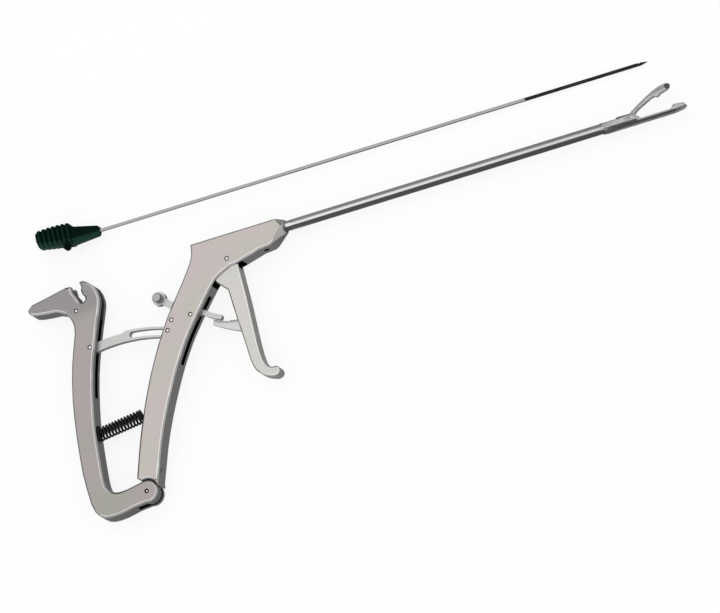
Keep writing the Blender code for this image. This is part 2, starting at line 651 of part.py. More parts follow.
def build_jaw_rod():
    """The rod that pushes the upper jaw shut, with the yoke at its rear and the fork at its front."""
    pin = fork_pin_place()
    fork_front = pin.x + ROD_FORK_PIN_RADIUS + FORK_REACH
    fork_rear = JAW_HINGE.x - 5.6 * MM
    fork_step = JAW_HINGE.x - JAW_BOSS_RADIUS - 0.75 * MM
    cheek_low = JAW_HINGE.y + JAW_BOSS_RADIUS + 0.15 * MM
    fork_top = pin.y + ROD_FORK_PIN_RADIUS + 0.2 * MM
    fork_bottom = ROD_HEIGHT - ROD_RADIUS - 0.12 * MM
    fork_outline = [
        Vector((fork_rear, fork_bottom)),
        Vector((fork_step, fork_bottom)),
        Vector((fork_step, cheek_low)),
        Vector((fork_front, cheek_low)),
        Vector((fork_front, fork_top)),
        Vector((fork_rear, fork_top)),
    ]
    half = JAW_SLOT_WIDTH / 2 - SIDE_GAP / 2
    fork = plate("rod_fork", fork_outline, MID - half, MID + half, material=satin_steel("rod_fork"))
    cut(fork, block("fork_slot", (fork_step - 0.2 * MM, 0, MID - FORK_SLOT / 2),
                    (fork_front + MM, 6 * MM, MID + FORK_SLOT / 2), helper=True))
    rod_end = fork_rear + 2.2 * MM
    cut(fork, rod("fork_rod_hole", (fork_rear - MM, ROD_HEIGHT, MID), (rod_end + SEAT_GAP, ROD_HEIGHT, MID),
                  ROD_RADIUS + SEAT_GAP, helper=True, steps=16))
    cut(fork, rod("fork_pin_hole", (*pin, MID - 2 * half), (*pin, MID + 2 * half),
                  ROD_FORK_PIN_RADIUS + SEAT_GAP, helper=True, steps=16))
    fork_pin = rod("rod_fork_pin", (*pin, MID - half), (*pin, MID + half), ROD_FORK_PIN_RADIUS,
                   bright_steel("rod_fork_pin"), steps=16)

    drive = drive_pin_place()
    yoke_bottom = TRIGGER_PIVOT.y + PIN_RADIUS + SIDE_GAP
    yoke = block("rod_yoke", (drive.x - YOKE_LENGTH / 2, yoke_bottom, MID - YOKE_WIDTH / 2),
                 (drive.x + YOKE_LENGTH / 2, YOKE_TOP, MID + YOKE_WIDTH / 2), satin_steel("rod_yoke"))
    slot_half = SMALL_PIN_RADIUS + 2 * PIN_CLEARANCE
    cut(yoke, block("yoke_slot", (drive.x - slot_half, yoke_bottom - MM, -PLATE),
                    (drive.x + slot_half, drive.y + SMALL_PIN_RADIUS + SIDE_GAP, 2 * PLATE), helper=True))
    cut(yoke, rod("yoke_guide_hole", (drive.x - YOKE_LENGTH, GUIDE_HEIGHT, MID),
                  (drive.x + YOKE_LENGTH, GUIDE_HEIGHT, MID), GUIDE_RADIUS + SIDE_GAP / 2, helper=True))
    yoke_front = drive.x + YOKE_LENGTH / 2
    rod_start = yoke_front - 2.0 * MM
    cut(yoke, rod("yoke_rod_hole", (rod_start - SEAT_GAP, ROD_HEIGHT, MID),
                  (yoke_front + MM, ROD_HEIGHT, MID), ROD_RADIUS + SEAT_GAP, helper=True, steps=16))

    bar = rod("jaw_rod", (rod_start, ROD_HEIGHT, MID), (rod_end, ROD_HEIGHT, MID), ROD_RADIUS,
              bright_steel("jaw_rod"), steps=16)
    return [bar, yoke, fork, fork_pin]


def drive_pin_place():
    """The trigger's drive pin at rest, half the trigger's range behind its pivot."""
    return clock(TRIGGER_PIVOT, TRIGGER_ARM, -TRIGGER_ANGLE / 2)


def trigger_outline():
    """The finger lever from the pivot: head, wing, rear edge, hook with its bulb and front edge."""
    head = mm((3.7, -0.5), (2.6, 2.2), (1.4, 3.2), (-1.6, 3.2), (-3.0, 2.0))
    wing = mm((-7.1, -4.6), (-7.6, -7.9), (-2.8, -12.9))
    rear = smooth_run(mm((-2.8, -12.9), (-1.9, -23.2), (-0.5, -36.3), (0.3, -45.1), (1.8, -50.2),
                         (5.2, -53.4), (9.0, -54.8)), 2)
    bulb = arc(Vector((9.7 * MM, -52.6 * MM)), BULB_RADIUS, -80, 75, 8)
    front = smooth_run(mm((9.0, -50.7), (7.2, -49.6), (5.4, -46.4), (4.7, -38.0), (4.5, -21.0),
                          (4.0, -8.0)), 2)
    return moved(TRIGGER_PIVOT, [*head, *wing, *rear[1:], *bulb, *front])


def build_trigger():
    half = TRIGGER_THICKNESS / 2
    trigger = plate("trigger", trigger_outline(), MID - half, MID + half, TRIGGER_CHAMFER,
                    satin_steel("trigger"))
    fork_half = YOKE_WIDTH / 2 + SIDE_GAP
    fork_floor = TRIGGER_PIVOT.y - 4.6 * MM
    cut(trigger, block("trigger_fork", (-8 * MM, fork_floor, MID - fork_half),
                       (8 * MM, 8 * MM, MID + fork_half), helper=True))
    drill(trigger, "pivot", TRIGGER_PIVOT, PIN_RADIUS)
    drill(trigger, "drive", drive_pin_place(), SMALL_PIN_RADIUS)

    pin_half = half - 0.3 * MM
    drive = drive_pin_place()
    drive_pin = rod("trigger_drive_pin", (*drive, MID - pin_half), (*drive, MID + pin_half),
                    SMALL_PIN_RADIUS, bright_steel("trigger_drive_pin"), steps=16)

    ratchet = plate("ratchet_bar", ratchet_outline(), MID - RATCHET_THICKNESS / 2,
                    MID + RATCHET_THICKNESS / 2, material=bright_steel("ratchet_bar"))
    seat_half = RATCHET_THICKNESS / 2 + SEAT_GAP
    floor = ratchet_tenon_angle() - SIDE_GAP / TOOTH_TIP_RADIUS
    mouth = RATCHET_ROOT + TRIGGER_THICKNESS / TOOTH_TIP_RADIUS
    seat = [
        *below_arc(TOOTH_TIP_RADIUS - SIDE_GAP / 2, mouth, floor),
        *below_arc(TOOTH_TIP_RADIUS + RATCHET_ROOT_DEPTH + SIDE_GAP / 2, floor, mouth),
    ]
    cut(trigger, plate("ratchet_seat", seat, MID - seat_half, MID + seat_half, helper=True))
    return [trigger, drive_pin, ratchet]


def below(centre, radius, angle):
    """A point below a centre, at an angle towards -X."""
    return centre + Vector((-math.sin(angle), -math.cos(angle))) * radius


def below_arc(radius, start, end, steps=8):
    """Points on an arc below the trigger's pivot, its angles measured towards -X."""
    return [below(TRIGGER_PIVOT, radius, start + (end - start) * step / steps) for step in range(steps + 1)]


def ratchet_tenon_angle():
    """How far the bar's root reaches into the trigger."""
    return RATCHET_ROOT - RATCHET_TENON / TOOTH_TIP_RADIUS


def ratchet_outline():
    """A toothed arc: saw teeth on its inner edge and an outer edge that widens towards its root."""
    tenon = ratchet_tenon_angle()
    steps = 9
    outer = []
    for step in range(steps + 1):
        share = step / steps
        depth = RATCHET_DEPTH + (RATCHET_ROOT_DEPTH - RATCHET_DEPTH) * (1 - share) ** RATCHET_TAPER
        outer.append(below(TRIGGER_PIVOT, TOOTH_TIP_RADIUS + depth, tenon + (RATCHET_END - tenon) * share))
    inner = []
    pitch = (RATCHET_END - TOOTHED_FROM) / TOOTH_COUNT
    for tooth in range(TOOTH_COUNT):
        tip = RATCHET_END - tooth * pitch
        inner.append(below(TRIGGER_PIVOT, TOOTH_TIP_RADIUS, tip))
        inner.append(below(TRIGGER_PIVOT, TOOTH_TIP_RADIUS + TOOTH_DEPTH, tip - pitch * 0.8))
    return [*outer, *inner, *below_arc(TOOTH_TIP_RADIUS, TOOTHED_FROM, tenon, 3)]


def build_release_lever():
    """The pawl: a bar that ends over the teeth, a boss on its pivot and an arm with an eye behind."""
    arm = (LEVER_EYE - RELEASE_PIVOT).normalized()
    across = Vector((arm.y, -arm.x)) * LEVER_ARM_WIDTH / 2
    pawl_radius = TOOTH_TIP_RADIUS - PAWL_GAP
    under = below_arc(pawl_radius, PAWL_BOSS_ANGLE, PAWL_NOSE_ANGLE, 4)
    nose = below(TRIGGER_PIVOT, pawl_radius - PAWL_DEPTH / 2, PAWL_NOSE_ANGLE - 0.02)
    over = [below(TRIGGER_PIVOT, pawl_radius - PAWL_DEPTH, angle) for angle in PAWL_BACK_ANGLES]
    bar = [*under, nose, *over, RELEASE_PIVOT + Vector((1.9 * MM, 2.6 * MM)), RELEASE_PIVOT + across,
           LEVER_EYE + across, LEVER_EYE - across, RELEASE_PIVOT - across * 1.2]
    half = LEVER_THICKNESS / 2
    lever = plate("release_lever", bar, MID - half, MID + half, material=bright_steel("release_lever"))
    combine(lever, rod("lever_boss", (*RELEASE_PIVOT, MID - half), (*RELEASE_PIVOT, MID + half),
                       LEVER_BOSS_RADIUS, helper=True), "UNION")
    combine(lever, rod("lever_eye", (*LEVER_EYE, MID - half), (*LEVER_EYE, MID + half),
                       LEVER_EYE_RADIUS, helper=True), "UNION")
    drill(lever, "pivot", RELEASE_PIVOT, PIN_RADIUS)
    knob_neck = KNOB_RADIUS - 0.6 * MM
    drill(lever, "knob", LEVER_EYE, knob_neck)

    knob = build_knob(knob_neck, half)
    return [lever, knob]


def build_knob(neck, lever_half):
    """A turned cross knob: a narrow neck through the eye and a chamfered drum on each side."""
    drum_start = lever_half + SEAT_GAP
    drum_end = MID - KNOB_END_GAP
    profile = [
        (0.0, -drum_end),
        (KNOB_RADIUS - KNOB_CHAMFER, -drum_end),
        (KNOB_RADIUS, KNOB_CHAMFER - drum_end),
        (KNOB_RADIUS, -drum_start),
        (neck, -drum_start),
        (neck, drum_start),
        (KNOB_RADIUS, drum_start),
        (KNOB_RADIUS, drum_end - KNOB_CHAMFER),
        (KNOB_RADIUS - KNOB_CHAMFER, drum_end),
        (0.0, drum_end),
    ]
    return turned("release_knob", profile, LEVER_EYE, satin_steel("release_knob"))


def turned(name, profile, place, material):
    """A turned piece: (radius, height) points spun about a vertical axis."""
    shape = bmesh.new()
    verts = [shape.verts.new((radius, 0, height)) for radius, height in profile]
    edges = [shape.edges.new(pair) for pair in zip(verts, verts[1:])]
    bmesh.ops.spin(shape, geom=[*verts, *edges], cent=(0, 0, 0), axis=(0, 0, 1),
                   angle=math.tau, steps=ROUND_STEPS, use_merge=True)
    bmesh.ops.remove_doubles(shape, verts=shape.verts, dist=1e-6)
    bmesh.ops.translate(shape, vec=(*place, MID), verts=shape.verts)
    return add_object(name, shape, material)


def build_release_spring():
    """A leaf coiled round its pin, whose free end lies under the release lever's arm."""
    inner = PIN_RADIUS + PIN_CLEARANCE + SEAT_GAP
    outer = inner + LEAF_THICKNESS
    arm = (LEVER_EYE - RELEASE_PIVOT).normalized()
    across = Vector((arm.y, -arm.x))
    if across.y > 0:
        across = -across
    touch = RELEASE_PIVOT + arm * 3.6 * MM + across * (LEVER_ARM_WIDTH / 2 + SIDE_GAP + 0.15 * MM)
    ring_out = arc(LEAF_PIN_PLACE, outer, LEAF_RING_FROM, LEAF_RING_TO, 12)
    ring_in = arc(LEAF_PIN_PLACE, inner, LEAF_RING_TO, LEAF_RING_FROM, 12)
    leaf = Vector((touch - ring_out[0]))
    side = Vector((leaf.y, -leaf.x)).normalized() * LEAF_THICKNESS
    outline = [*ring_out, *ring_in, touch + side, touch]
    return plate("release_spring", outline, MID - LEAF_WIDTH / 2, MID + LEAF_WIDTH / 2,
                 material=black_finish("release_spring"))


def rear_handle_outline():
    """The squeeze handle from the main pivot: hook, front edge, foot, back edge, tail and notch."""
    hook = mm((-9.9, 96.3), (-8.3, 96.5), (-6.1, 95.1), (-4.1, 93.0))
    front = smooth_run(mm((-3.1, 90.5), (-2.7, 86.3), (-4.4, 80.8), (-7.2, 72.9), (-12.1, 57.3),
                          (-15.9, 37.4), (-17.2, 20.4), (-17.6, 11.0)))
    crook = smooth_run(mm((-17.6, 11.0), (-17.2, 7.0), (-15.2, 4.3), (-12.0, 3.2), (-8.2, 3.4)), 2)
    foot = arc(Vector((0, 0)), FOOT_RADIUS, 105, -85, 14)
    sole = smooth_run(mm((-1.4, -4.6), (-7.0, -5.1), (-12.6, -6.2), (-18.6, -6.3), (-22.7, -4.2),
                         (-25.1, 1.5), (-26.0, 15.4)), 2)
    back = smooth_run(mm((-26.0, 15.4), (-25.3, 30.6), (-23.5, 47.9), (-20.3, 63.2), (-16.6, 75.0),
                         (-16.3, 80.2), (-18.6, 84.6), (-22.6, 86.7)), 2)
    tail = smooth_run(mm((-22.6, 86.7), (-28.1, 87.2), (-33.0, 88.2), (-34.4, 90.6), (-32.0, 92.8)), 2)
    lip = mm((-26.6, 93.7), (-16.3, 95.7), (-14.0, 95.5), (-13.8, 92.6), (-12.8, 90.9))
    outline = moved(MAIN_PIVOT, [*hook, *front, *crook[1:], *foot, *sole, *back[1:], *tail[1:], *lip])
    seat = arc(PEG_SEAT, PEG_SEAT_RADIUS, 210, 420, 10)
    return [*outline, *seat, *moved(MAIN_PIVOT, mm((-9.9, 92.7), (-9.4, 94.1)))]


def build_rear_handle():
    handle = plate("rear_handle", rear_handle_outline(), 0, PLATE, PLATE_CHAMFER, satin_steel("rear_handle"))
    slot_floor = (LINK_RADIUS - HEAD_SLOT_DEPTH) / MM
    head_slot = mm((-19.8, slot_floor), (4.0, slot_floor - 6.0), (6.0, 100.0), (-20.0, 100.0), (-16.4, 84.0),
                   (-12.8, 79.0), (-15.4, 64.0))
    cut(handle, slot_cutter("head_slot", moved(MAIN_PIVOT, head_slot), SLOT_WIDTH))

    foot_slot = moved(MAIN_PIVOT, mm((-6.4, -12.0), (8.0, -12.0), (8.0, 9.0), (-6.4, 9.0)))
    cut(handle, slot_cutter("foot_slot", foot_slot, SLOT_WIDTH + SIDE_GAP))

    cut(handle, spring_pocket("rear_spring_pocket", SPRING_REAR, SPRING_FRONT))
    drill(handle, "main", MAIN_PIVOT, PIN_RADIUS)
    drill(handle, "link", link_pin_place(), PIN_RADIUS)
    drill(handle, "stop", HUB_STOP_PLACE, PIN_RADIUS)
    return handle


def link_arc(radius, start, end, steps):
    """Points on an arc about the main pivot, its angles measured clockwise from +Y."""
    return [clock(MAIN_PIVOT, radius, start + (end - start) * step / steps) for step in range(steps + 1)]


def build_guide_link():
    """The slotted arc: a solid arm in the rear handle's slot, then two thin bars round a long slot."""
    edge = LINK_WIDTH / 2
    outline = [
        *link_arc(LINK_RADIUS + edge - LINK_ARM_STEP, LINK_ROOT, LINK_SHOULDER - LINK_STEP_RUN, 4),
        *link_arc(LINK_RADIUS + edge, LINK_SHOULDER, LINK_END, 6),
        *link_arc(LINK_RADIUS - edge, LINK_END, LINK_ROOT, 9),
    ]
    half = LINK_THICKNESS / 2
    link = plate("guide_link", outline, MID - half, MID + half, material=satin_steel("guide_link"))

    slot_half = edge - LINK_BAR
    slot = [
        *link_arc(LINK_RADIUS + slot_half, LINK_SLOT_FROM, LINK_SLOT_TO, 6),
        *link_arc(LINK_RADIUS - slot_half, LINK_SLOT_TO, LINK_SLOT_FROM, 6),
    ]
    cut(link, slot_cutter("link_slot", slot, PLATE))
    for name, angle in (("start", LINK_SLOT_FROM), ("end", LINK_SLOT_TO)):
        centre = clock(MAIN_PIVOT, LINK_RADIUS, angle)
        cut(link, rod(f"link_slot_{name}", (*centre, 0), (*centre, PLATE), slot_half, helper=True))
    drill(link, "pin", link_pin_place(), PIN_RADIUS)
    return link


def build_return_spring():
    """A round-wire helix between its two seats."""
    along = (SPRING_FRONT - SPRING_REAR).normalized()
    seat = WIRE_RADIUS + SIDE_GAP - SPRING_POCKET_DEPTH * 0.1
    start = SPRING_REAR + along * seat
    end = SPRING_FRONT - along * seat
    steps_per_coil, sides = 12, 6
    count = int(SPRING_COILS * steps_per_coil)
    forward = Vector((*along, 0))
    side = Vector((-along.y, along.x, 0))
    up = Vector((0, 0, 1))
    shape = bmesh.new()
    rings = []
    for step in range(count + 1):
        share = step / count
        angle = math.tau * SPRING_COILS * share
        out = side * math.cos(angle) + up * math.sin(angle)
        centre = Vector((*start, MID)) + forward * (end - start).length * share + out * SPRING_RADIUS
        ring = []
        for corner in range(sides):
            turn = math.tau * corner / sides
            rim = out * math.cos(turn) + forward * math.sin(turn)
            ring.append(shape.verts.new(centre + rim * WIRE_RADIUS))
        rings.append(ring)
    for first, second in zip(rings, rings[1:]):
        for corner in range(sides):
            following = (corner + 1) % sides
            shape.faces.new((first[corner], first[following], second[following], second[corner]))
    shape.faces.new(rings[0])
    shape.faces.new(rings[-1])
    return add_object("return_spring", shape, black_finish("return_spring"))


def needle_point(distance):
    """A point on the needle's axis, measured back from its tip."""
    back = (NEEDLE_HUB_END - NEEDLE_TIP).normalized()
    return NEEDLE_TIP + back * distance


def build_needle():
    """The needle laid beside the instrument: bright rod, black notched blade and ribbed hub."""
    length = (NEEDLE_HUB_END - NEEDLE_TIP).length
    bright = rod("needle_rod", needle_point(length), needle_point(NEEDLE_BLACK_LENGTH + SEAT_GAP),
                 NEEDLE_RADIUS, bright_steel("needle_rod"), steps=16)

    blade = rod("needle_blade", needle_point(NEEDLE_BLACK_LENGTH), needle_point(NEEDLE_POINT_LENGTH),
                NEEDLE_RADIUS, black_finish("needle_blade"), steps=16)
    point = rod("needle_taper", needle_point(NEEDLE_POINT_LENGTH + 0.1 * MM), needle_point(0),
                NEEDLE_RADIUS * 0.98, helper=True, steps=16, end_radius=0.12 * MM)
    combine(blade, point, "UNION")
    notch_at = needle_point(NEEDLE_POINT_LENGTH * 1.15)
    notch = block("needle_notch", notch_at + Vector((-0.6 * MM, NEEDLE_RADIUS - NEEDLE_NOTCH, -2 * MM)),
                  notch_at + Vector((0.6 * MM, 3 * MM, 2 * MM)), helper=True)
    cut(blade, notch)
    return [bright, blade, build_hub()]


def hub_sections():
    """(x, low, high, half width) of the hub along its length, its low and high measured from its axis."""
    first_rib = HUB_REAR + 0.5 * MM
    sections = [(HUB_REAR, 0.3 * MM, 6.0 * MM, HUB_HALF_WIDTH - 1.0 * MM)]
    for rib in range(HUB_RIBS):
        start = first_rib + rib * RIB_PITCH
        share = rib / (HUB_RIBS - 1)
        low = (-0.4 - 2.3 * share) * MM
        crest = (6.9 - 0.5 * share + 1.4 * share * (1 - share)) * MM
        half = HUB_HALF_WIDTH - 0.5 * MM * (1 - share)
        sections.append((start, low, crest - RIB_HEIGHT, half - RIB_HEIGHT))
        sections.append((start + 0.35 * RIB_PITCH, low, crest, half))
        sections.append((start + 0.8 * RIB_PITCH, low, crest, half))
        sections.append((start + 0.98 * RIB_PITCH, low, crest - RIB_HEIGHT, half - RIB_HEIGHT))
    shoulder = first_rib + HUB_RIBS * RIB_PITCH
    sections.append((shoulder + 0.1 * MM, -2.6 * MM, 4.7 * MM, HUB_HALF_WIDTH - 0.8 * MM))
    sections.append((HUB_FRONT - 0.6 * MM, -2.3 * MM, 2.2 * MM, 2.3 * MM))
    sections.append((HUB_FRONT, -2.0 * MM, 1.8 * MM, 2.0 * MM))
    return sections


def build_hub():
    """The moulded hub, lofted through its sections, with the cross peg and a bore for the rod."""
    axis_y, axis_z = NEEDLE_HUB_END.y, NEEDLE_HUB_END.z
    shape = bmesh.new()
    rings = []
    for x, low, high, half in hub_sections():
        corners = [
            (low + HUB_LOWER_CORNER, -half), (high - HUB_CORNER, -half),
            (high, -half + HUB_CORNER), (high, half - HUB_CORNER),
            (high - HUB_CORNER, half), (low + HUB_LOWER_CORNER, half),
            (low, half - HUB_LOWER_CORNER), (low, -half + HUB_LOWER_CORNER),
        ]
        rings.append([shape.verts.new((x, axis_y + y, axis_z + z)) for y, z in corners])
    for first, second in zip(rings, rings[1:]):
        for index in range(len(first)):
            following = (index + 1) % len(first)
            shape.faces.new((first[index], first[following], second[following], second[index]))
    shape.faces.new(rings[0])
    shape.faces.new(rings[-1])
    hub = add_object("needle_hub", shape, green_plastic("needle_hub"))
    peg_y, peg_base = axis_y - PEG_DROP, PLATE - PEG_LENGTH
    peg = rod("hub_peg", (PEG_X, peg_y, peg_base), (PEG_X, peg_y, PLATE), PEG_RADIUS, helper=True)
    combine(hub, peg, "UNION")
    lug_half = PEG_RADIUS - 0.2 * MM
    lug = block("hub_lug", (PEG_X - lug_half, peg_y + lug_half / 2, axis_z),
                (PEG_X + lug_half, axis_y, peg_base + PEG_LENGTH / 3), helper=True)
    combine(hub, lug, "UNION")
    back = (NEEDLE_HUB_END - NEEDLE_TIP).normalized()
    start = NEEDLE_HUB_END + back * SEAT_GAP
    bore = rod("hub_bore", start, NEEDLE_HUB_END - back * 6 * MM, NEEDLE_RADIUS + SEAT_GAP,
               helper=True, steps=16)
    return cut(hub, bore)


def build_root():
    """What stays still: the frame, shaft, fixed jaw, the pins in the frame and the needle beside it."""
    build_front_handle()
    build_shaft()
    build_lower_jaw()
    cross_pin("trigger_pivot_pin", TRIGGER_PIVOT)
    cross_pin("release_pin", RELEASE_PIVOT)
    cross_pin("leaf_spring_pin", LEAF_PIN_PLACE)
    cross_pin("guide_stop_pin", STOP_PIN_PLACE)
    cross_pin("main_pivot_pin", MAIN_PIVOT)
    build_release_spring()
    build_return_spring()
    build_needle()


def main():
    clear_scene()
    build_root()
    carry("rear_handle_axis", MAIN_PIVOT, [
        build_rear_handle(),
        build_guide_link(),
        cross_pin("guide_link_pin", link_pin_place()),
        cross_pin("hub_stop_pin", HUB_STOP_PLACE),
    ])
    carry("trigger_axis", TRIGGER_PIVOT, build_trigger())
    carry("jaw_rod_axis", Vector((0, ROD_HEIGHT)), build_jaw_rod())
    carry("upper_jaw_axis", JAW_HINGE, [build_upper_jaw()])
    carry("release_axis", RELEASE_PIVOT, build_release_lever())


main()
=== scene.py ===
# %% [markdown]
# # A suture passer in satin steel, with its needle laid beside it
# The instrument is a surgeon's tool: two handles hinged at the bottom, a finger trigger, a long tube and a
# small jaw. The CAD model gives every solid its place. This file gives each of them its finish, adds the
# turned, coiled and serrated pieces that a plain solid can't show, and sets up a small photo studio.
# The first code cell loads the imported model. Its box is kept, so that the end can show that nothing grew.

import json
import math

import bmesh
import bpy
from mathutils import Matrix, Vector


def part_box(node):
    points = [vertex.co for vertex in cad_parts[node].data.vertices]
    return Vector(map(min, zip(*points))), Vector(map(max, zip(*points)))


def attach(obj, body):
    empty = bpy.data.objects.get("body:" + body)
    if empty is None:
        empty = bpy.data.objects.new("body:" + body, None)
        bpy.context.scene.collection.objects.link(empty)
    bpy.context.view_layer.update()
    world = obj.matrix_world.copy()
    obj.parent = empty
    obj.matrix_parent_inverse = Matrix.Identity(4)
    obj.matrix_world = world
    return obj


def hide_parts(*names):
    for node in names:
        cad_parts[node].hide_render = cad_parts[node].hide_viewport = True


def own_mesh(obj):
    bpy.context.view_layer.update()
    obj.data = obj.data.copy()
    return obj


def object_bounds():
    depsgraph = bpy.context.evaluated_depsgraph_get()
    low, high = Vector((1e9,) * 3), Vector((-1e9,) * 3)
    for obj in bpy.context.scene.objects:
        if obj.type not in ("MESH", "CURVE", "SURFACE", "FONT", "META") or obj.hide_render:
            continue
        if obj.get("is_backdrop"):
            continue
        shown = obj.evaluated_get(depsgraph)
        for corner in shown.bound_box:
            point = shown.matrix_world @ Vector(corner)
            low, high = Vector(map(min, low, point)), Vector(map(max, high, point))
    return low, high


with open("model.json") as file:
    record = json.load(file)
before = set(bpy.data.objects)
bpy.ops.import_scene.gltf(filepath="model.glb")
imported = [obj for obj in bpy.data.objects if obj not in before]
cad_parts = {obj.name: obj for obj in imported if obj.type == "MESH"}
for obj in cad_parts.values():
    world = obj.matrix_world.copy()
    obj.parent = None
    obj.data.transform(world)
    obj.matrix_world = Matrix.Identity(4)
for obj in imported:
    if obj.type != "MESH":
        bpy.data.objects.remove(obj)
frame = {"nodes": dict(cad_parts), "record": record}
cad_low, cad_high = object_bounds()
nodes = frame["nodes"]
MM = 0.001
# The plates are 10 mm thick and lie on the floor, so their middle plane is 5 mm up.
MID = 5.0
print("solids:", len(nodes), "size in mm:", [round(v / MM, 1) for v in cad_high - cad_low])

# %% [markdown]
# ## Where the camera stands
# The photograph was taken from far away with a long lens, so parallel edges stay parallel. A long lens on a
# distant camera gives that look. The camera's right, up and backward directions below were found from the
# plate's own edges: the instrument lies on its side, and the camera looks down on it from the near right.
# The nose's tip is the fixed point. It has to fall on the same pixel as in the photograph, and the point in
# the middle of the picture follows from that.

# %% Camera
PIXEL = 0.41822 * MM
ROLL = 0.00192
IMAGE_WIDTH = 720
IMAGE_MIDDLE = (360, 306.5)
NOSE_PIXEL = (286.47, 226.39)
CAMERA_DISTANCE = 10.0
SENSOR = 36.0
plate_right = Vector((0.9206, -0.2070, -0.3313))
plate_up = Vector((0.2850, 0.9360, 0.2071))
cam_right = (plate_right + plate_up * ROLL).normalized()
cam_up = (plate_up - plate_right * ROLL).normalized()
cam_back = cam_right.cross(cam_up).normalized()
nose_tip = Vector((27.0, 0.0, MID)) * MM
aside_px, below_px = (middle - nose for middle, nose in zip(IMAGE_MIDDLE, NOSE_PIXEL))
look_at = nose_tip + (cam_right * aside_px - cam_up * below_px) * PIXEL

camera_data = bpy.data.cameras.new("camera")
camera_data.sensor_width = SENSOR
camera_data.lens = CAMERA_DISTANCE * SENSOR / (IMAGE_WIDTH * PIXEL)
camera_data.clip_start = 1.0
camera_data.clip_end = 30.0
camera = bpy.data.objects.new("camera", camera_data)
bpy.context.scene.collection.objects.link(camera)
camera.matrix_world = Matrix((
    (cam_right.x, cam_up.x, cam_back.x, 0),
    (cam_right.y, cam_up.y, cam_back.y, 0),
    (cam_right.z, cam_up.z, cam_back.z, 0),
    (0, 0, 0, 1),
))
camera.location = look_at + cam_back * CAMERA_DISTANCE
bpy.context.scene.camera = camera
bpy.context.scene.view_settings.view_transform = "Standard"
print("lens in mm:", round(camera_data.lens))

# %% [markdown]
# ## Shader maths as Python sums
# A finish is a small tree of nodes. Placing forty nodes by hand is hard to read, so one class builds a tree
# and another wraps an output socket. Adding or multiplying wrapped sockets places the Math nodes for us.

# %% Two small classes for node trees
class Tree:
    """The node tree of a material or world, emptied, with one method that makes any node."""

    def __init__(self, owner):
        owner.use_nodes = True
        self.owner = owner
        self.nodes = owner.node_tree.nodes
        self.links = owner.node_tree.links
        self.nodes.clear()

    def add(self, kind, settings=None, sockets=None, output=0):
        """Makes a node: its settings first, then the values or links of its sockets."""
        made = self.nodes.new(kind)
        for name, value in (settings or {}).items():
            setattr(made, name, value)
        for name, value in (sockets or {}).items():
            target = made.inputs[name]
            if isinstance(value, Wire):
                self.links.new(value.socket, target)
            elif target.type == "RGBA" and len(value) == 3:
                target.default_value = (*value, 1.0)
            else:
                target.default_value = value
        return Wire(self, made.outputs[output]) if made.outputs else made

    def maths(self, operation, *values):
        """A Math node on wires or plain numbers."""
        return self.add("ShaderNodeMath", {"operation": operation}, dict(enumerate(values)))


class Wire:
    """An output socket that can stand in a sum."""

    def __init__(self, tree, socket):
        self.tree = tree
        self.socket = socket

    def other(self, name):
        """Another output of the same node."""
        return Wire(self.tree, self.socket.node.outputs[name])

    def __add__(self, value):
        return self.tree.maths("ADD", self, value)

    __radd__ = __add__

    def __sub__(self, value):
        return self.tree.maths("SUBTRACT", self, value)

    def __rsub__(self, value):
        return self.tree.maths("SUBTRACT", value, self)

    def __mul__(self, value):
        return self.tree.maths("MULTIPLY", self, value)

    __rmul__ = __mul__

    def __truediv__(self, value):
        return self.tree.maths("DIVIDE", self, value)

    def __abs__(self):
        return self.tree.maths("ABSOLUTE", self)


# %% [markdown]
# A few helpers for what every finish needs. `rise` is a soft step, `blend_colours` mixes two colours with a
# mask, and `noise` reads a cloud pattern whose grain size is given in millimetres, because the model is in
# metres and a noise scale is hard to picture otherwise. `axis_of` takes one number out of a direction or a
# place, and `ball` is a mask around one point, for a hole, a burnt spot or a peg.

# %% Helpers for masks, colours and noise
def rise(value, low, high):
    """0 up to low, 1 from high on, and a soft step between them."""
    return value.tree.add(
        "ShaderNodeMapRange", {"interpolation_type": "SMOOTHSTEP"},
        {"Value": value, "From Min": low, "From Max": high},
    )


def blend_colours(mask, first, second):
    """The first colour where the mask is 0, the second where it is 1."""
    # A Mix node has sockets for each kind of data under the same names, so the colours' go by number.
    return mask.tree.add("ShaderNodeMix", {"data_type": "RGBA"}, {0: mask, 6: first, 7: second}, output=2)


def shade(colour, amount):
    """A colour made darker or lighter by a number that varies."""
    tree = amount.tree
    grey = tree.add("ShaderNodeCombineXYZ", {}, {0: amount, 1: amount, 2: amount})
    return tree.add("ShaderNodeVectorMath", {"operation": "MULTIPLY"}, {0: colour, 1: grey})


def noise(place, grain_mm, detail=2.0, stretch=None):
    """Clouds with this grain size, or streaks where it is stretched along an axis."""
    tree = place.tree
    if stretch:
        place = tree.add("ShaderNodeMapping", {}, {"Vector": place, "Scale": stretch})
    return tree.add(
        "ShaderNodeTexNoise", {}, {"Vector": place, "Scale": 1000.0 / grain_mm, "Detail": detail}
    )


def axis_of(vector, axis):
    """The X, Y or Z of a place or a direction."""
    return vector.tree.add("ShaderNodeSeparateXYZ", {}, {0: vector}, output=axis)


def ball(place, middle_mm, inner_mm, outer_mm):
    """0 close to a point and 1 away from it."""
    away = place.tree.add(
        "ShaderNodeVectorMath", {"operation": "DISTANCE"}, {0: place, 1: Vector(middle_mm) * MM},
        output="Value",
    )
    return rise(away, inner_mm * MM, outer_mm * MM)


def new_finish(name):
    """A new material's tree and its Object coordinates."""
    tree = Tree(bpy.data.materials.new(name))
    return tree, tree.add("ShaderNodeTexCoord", output="Object")


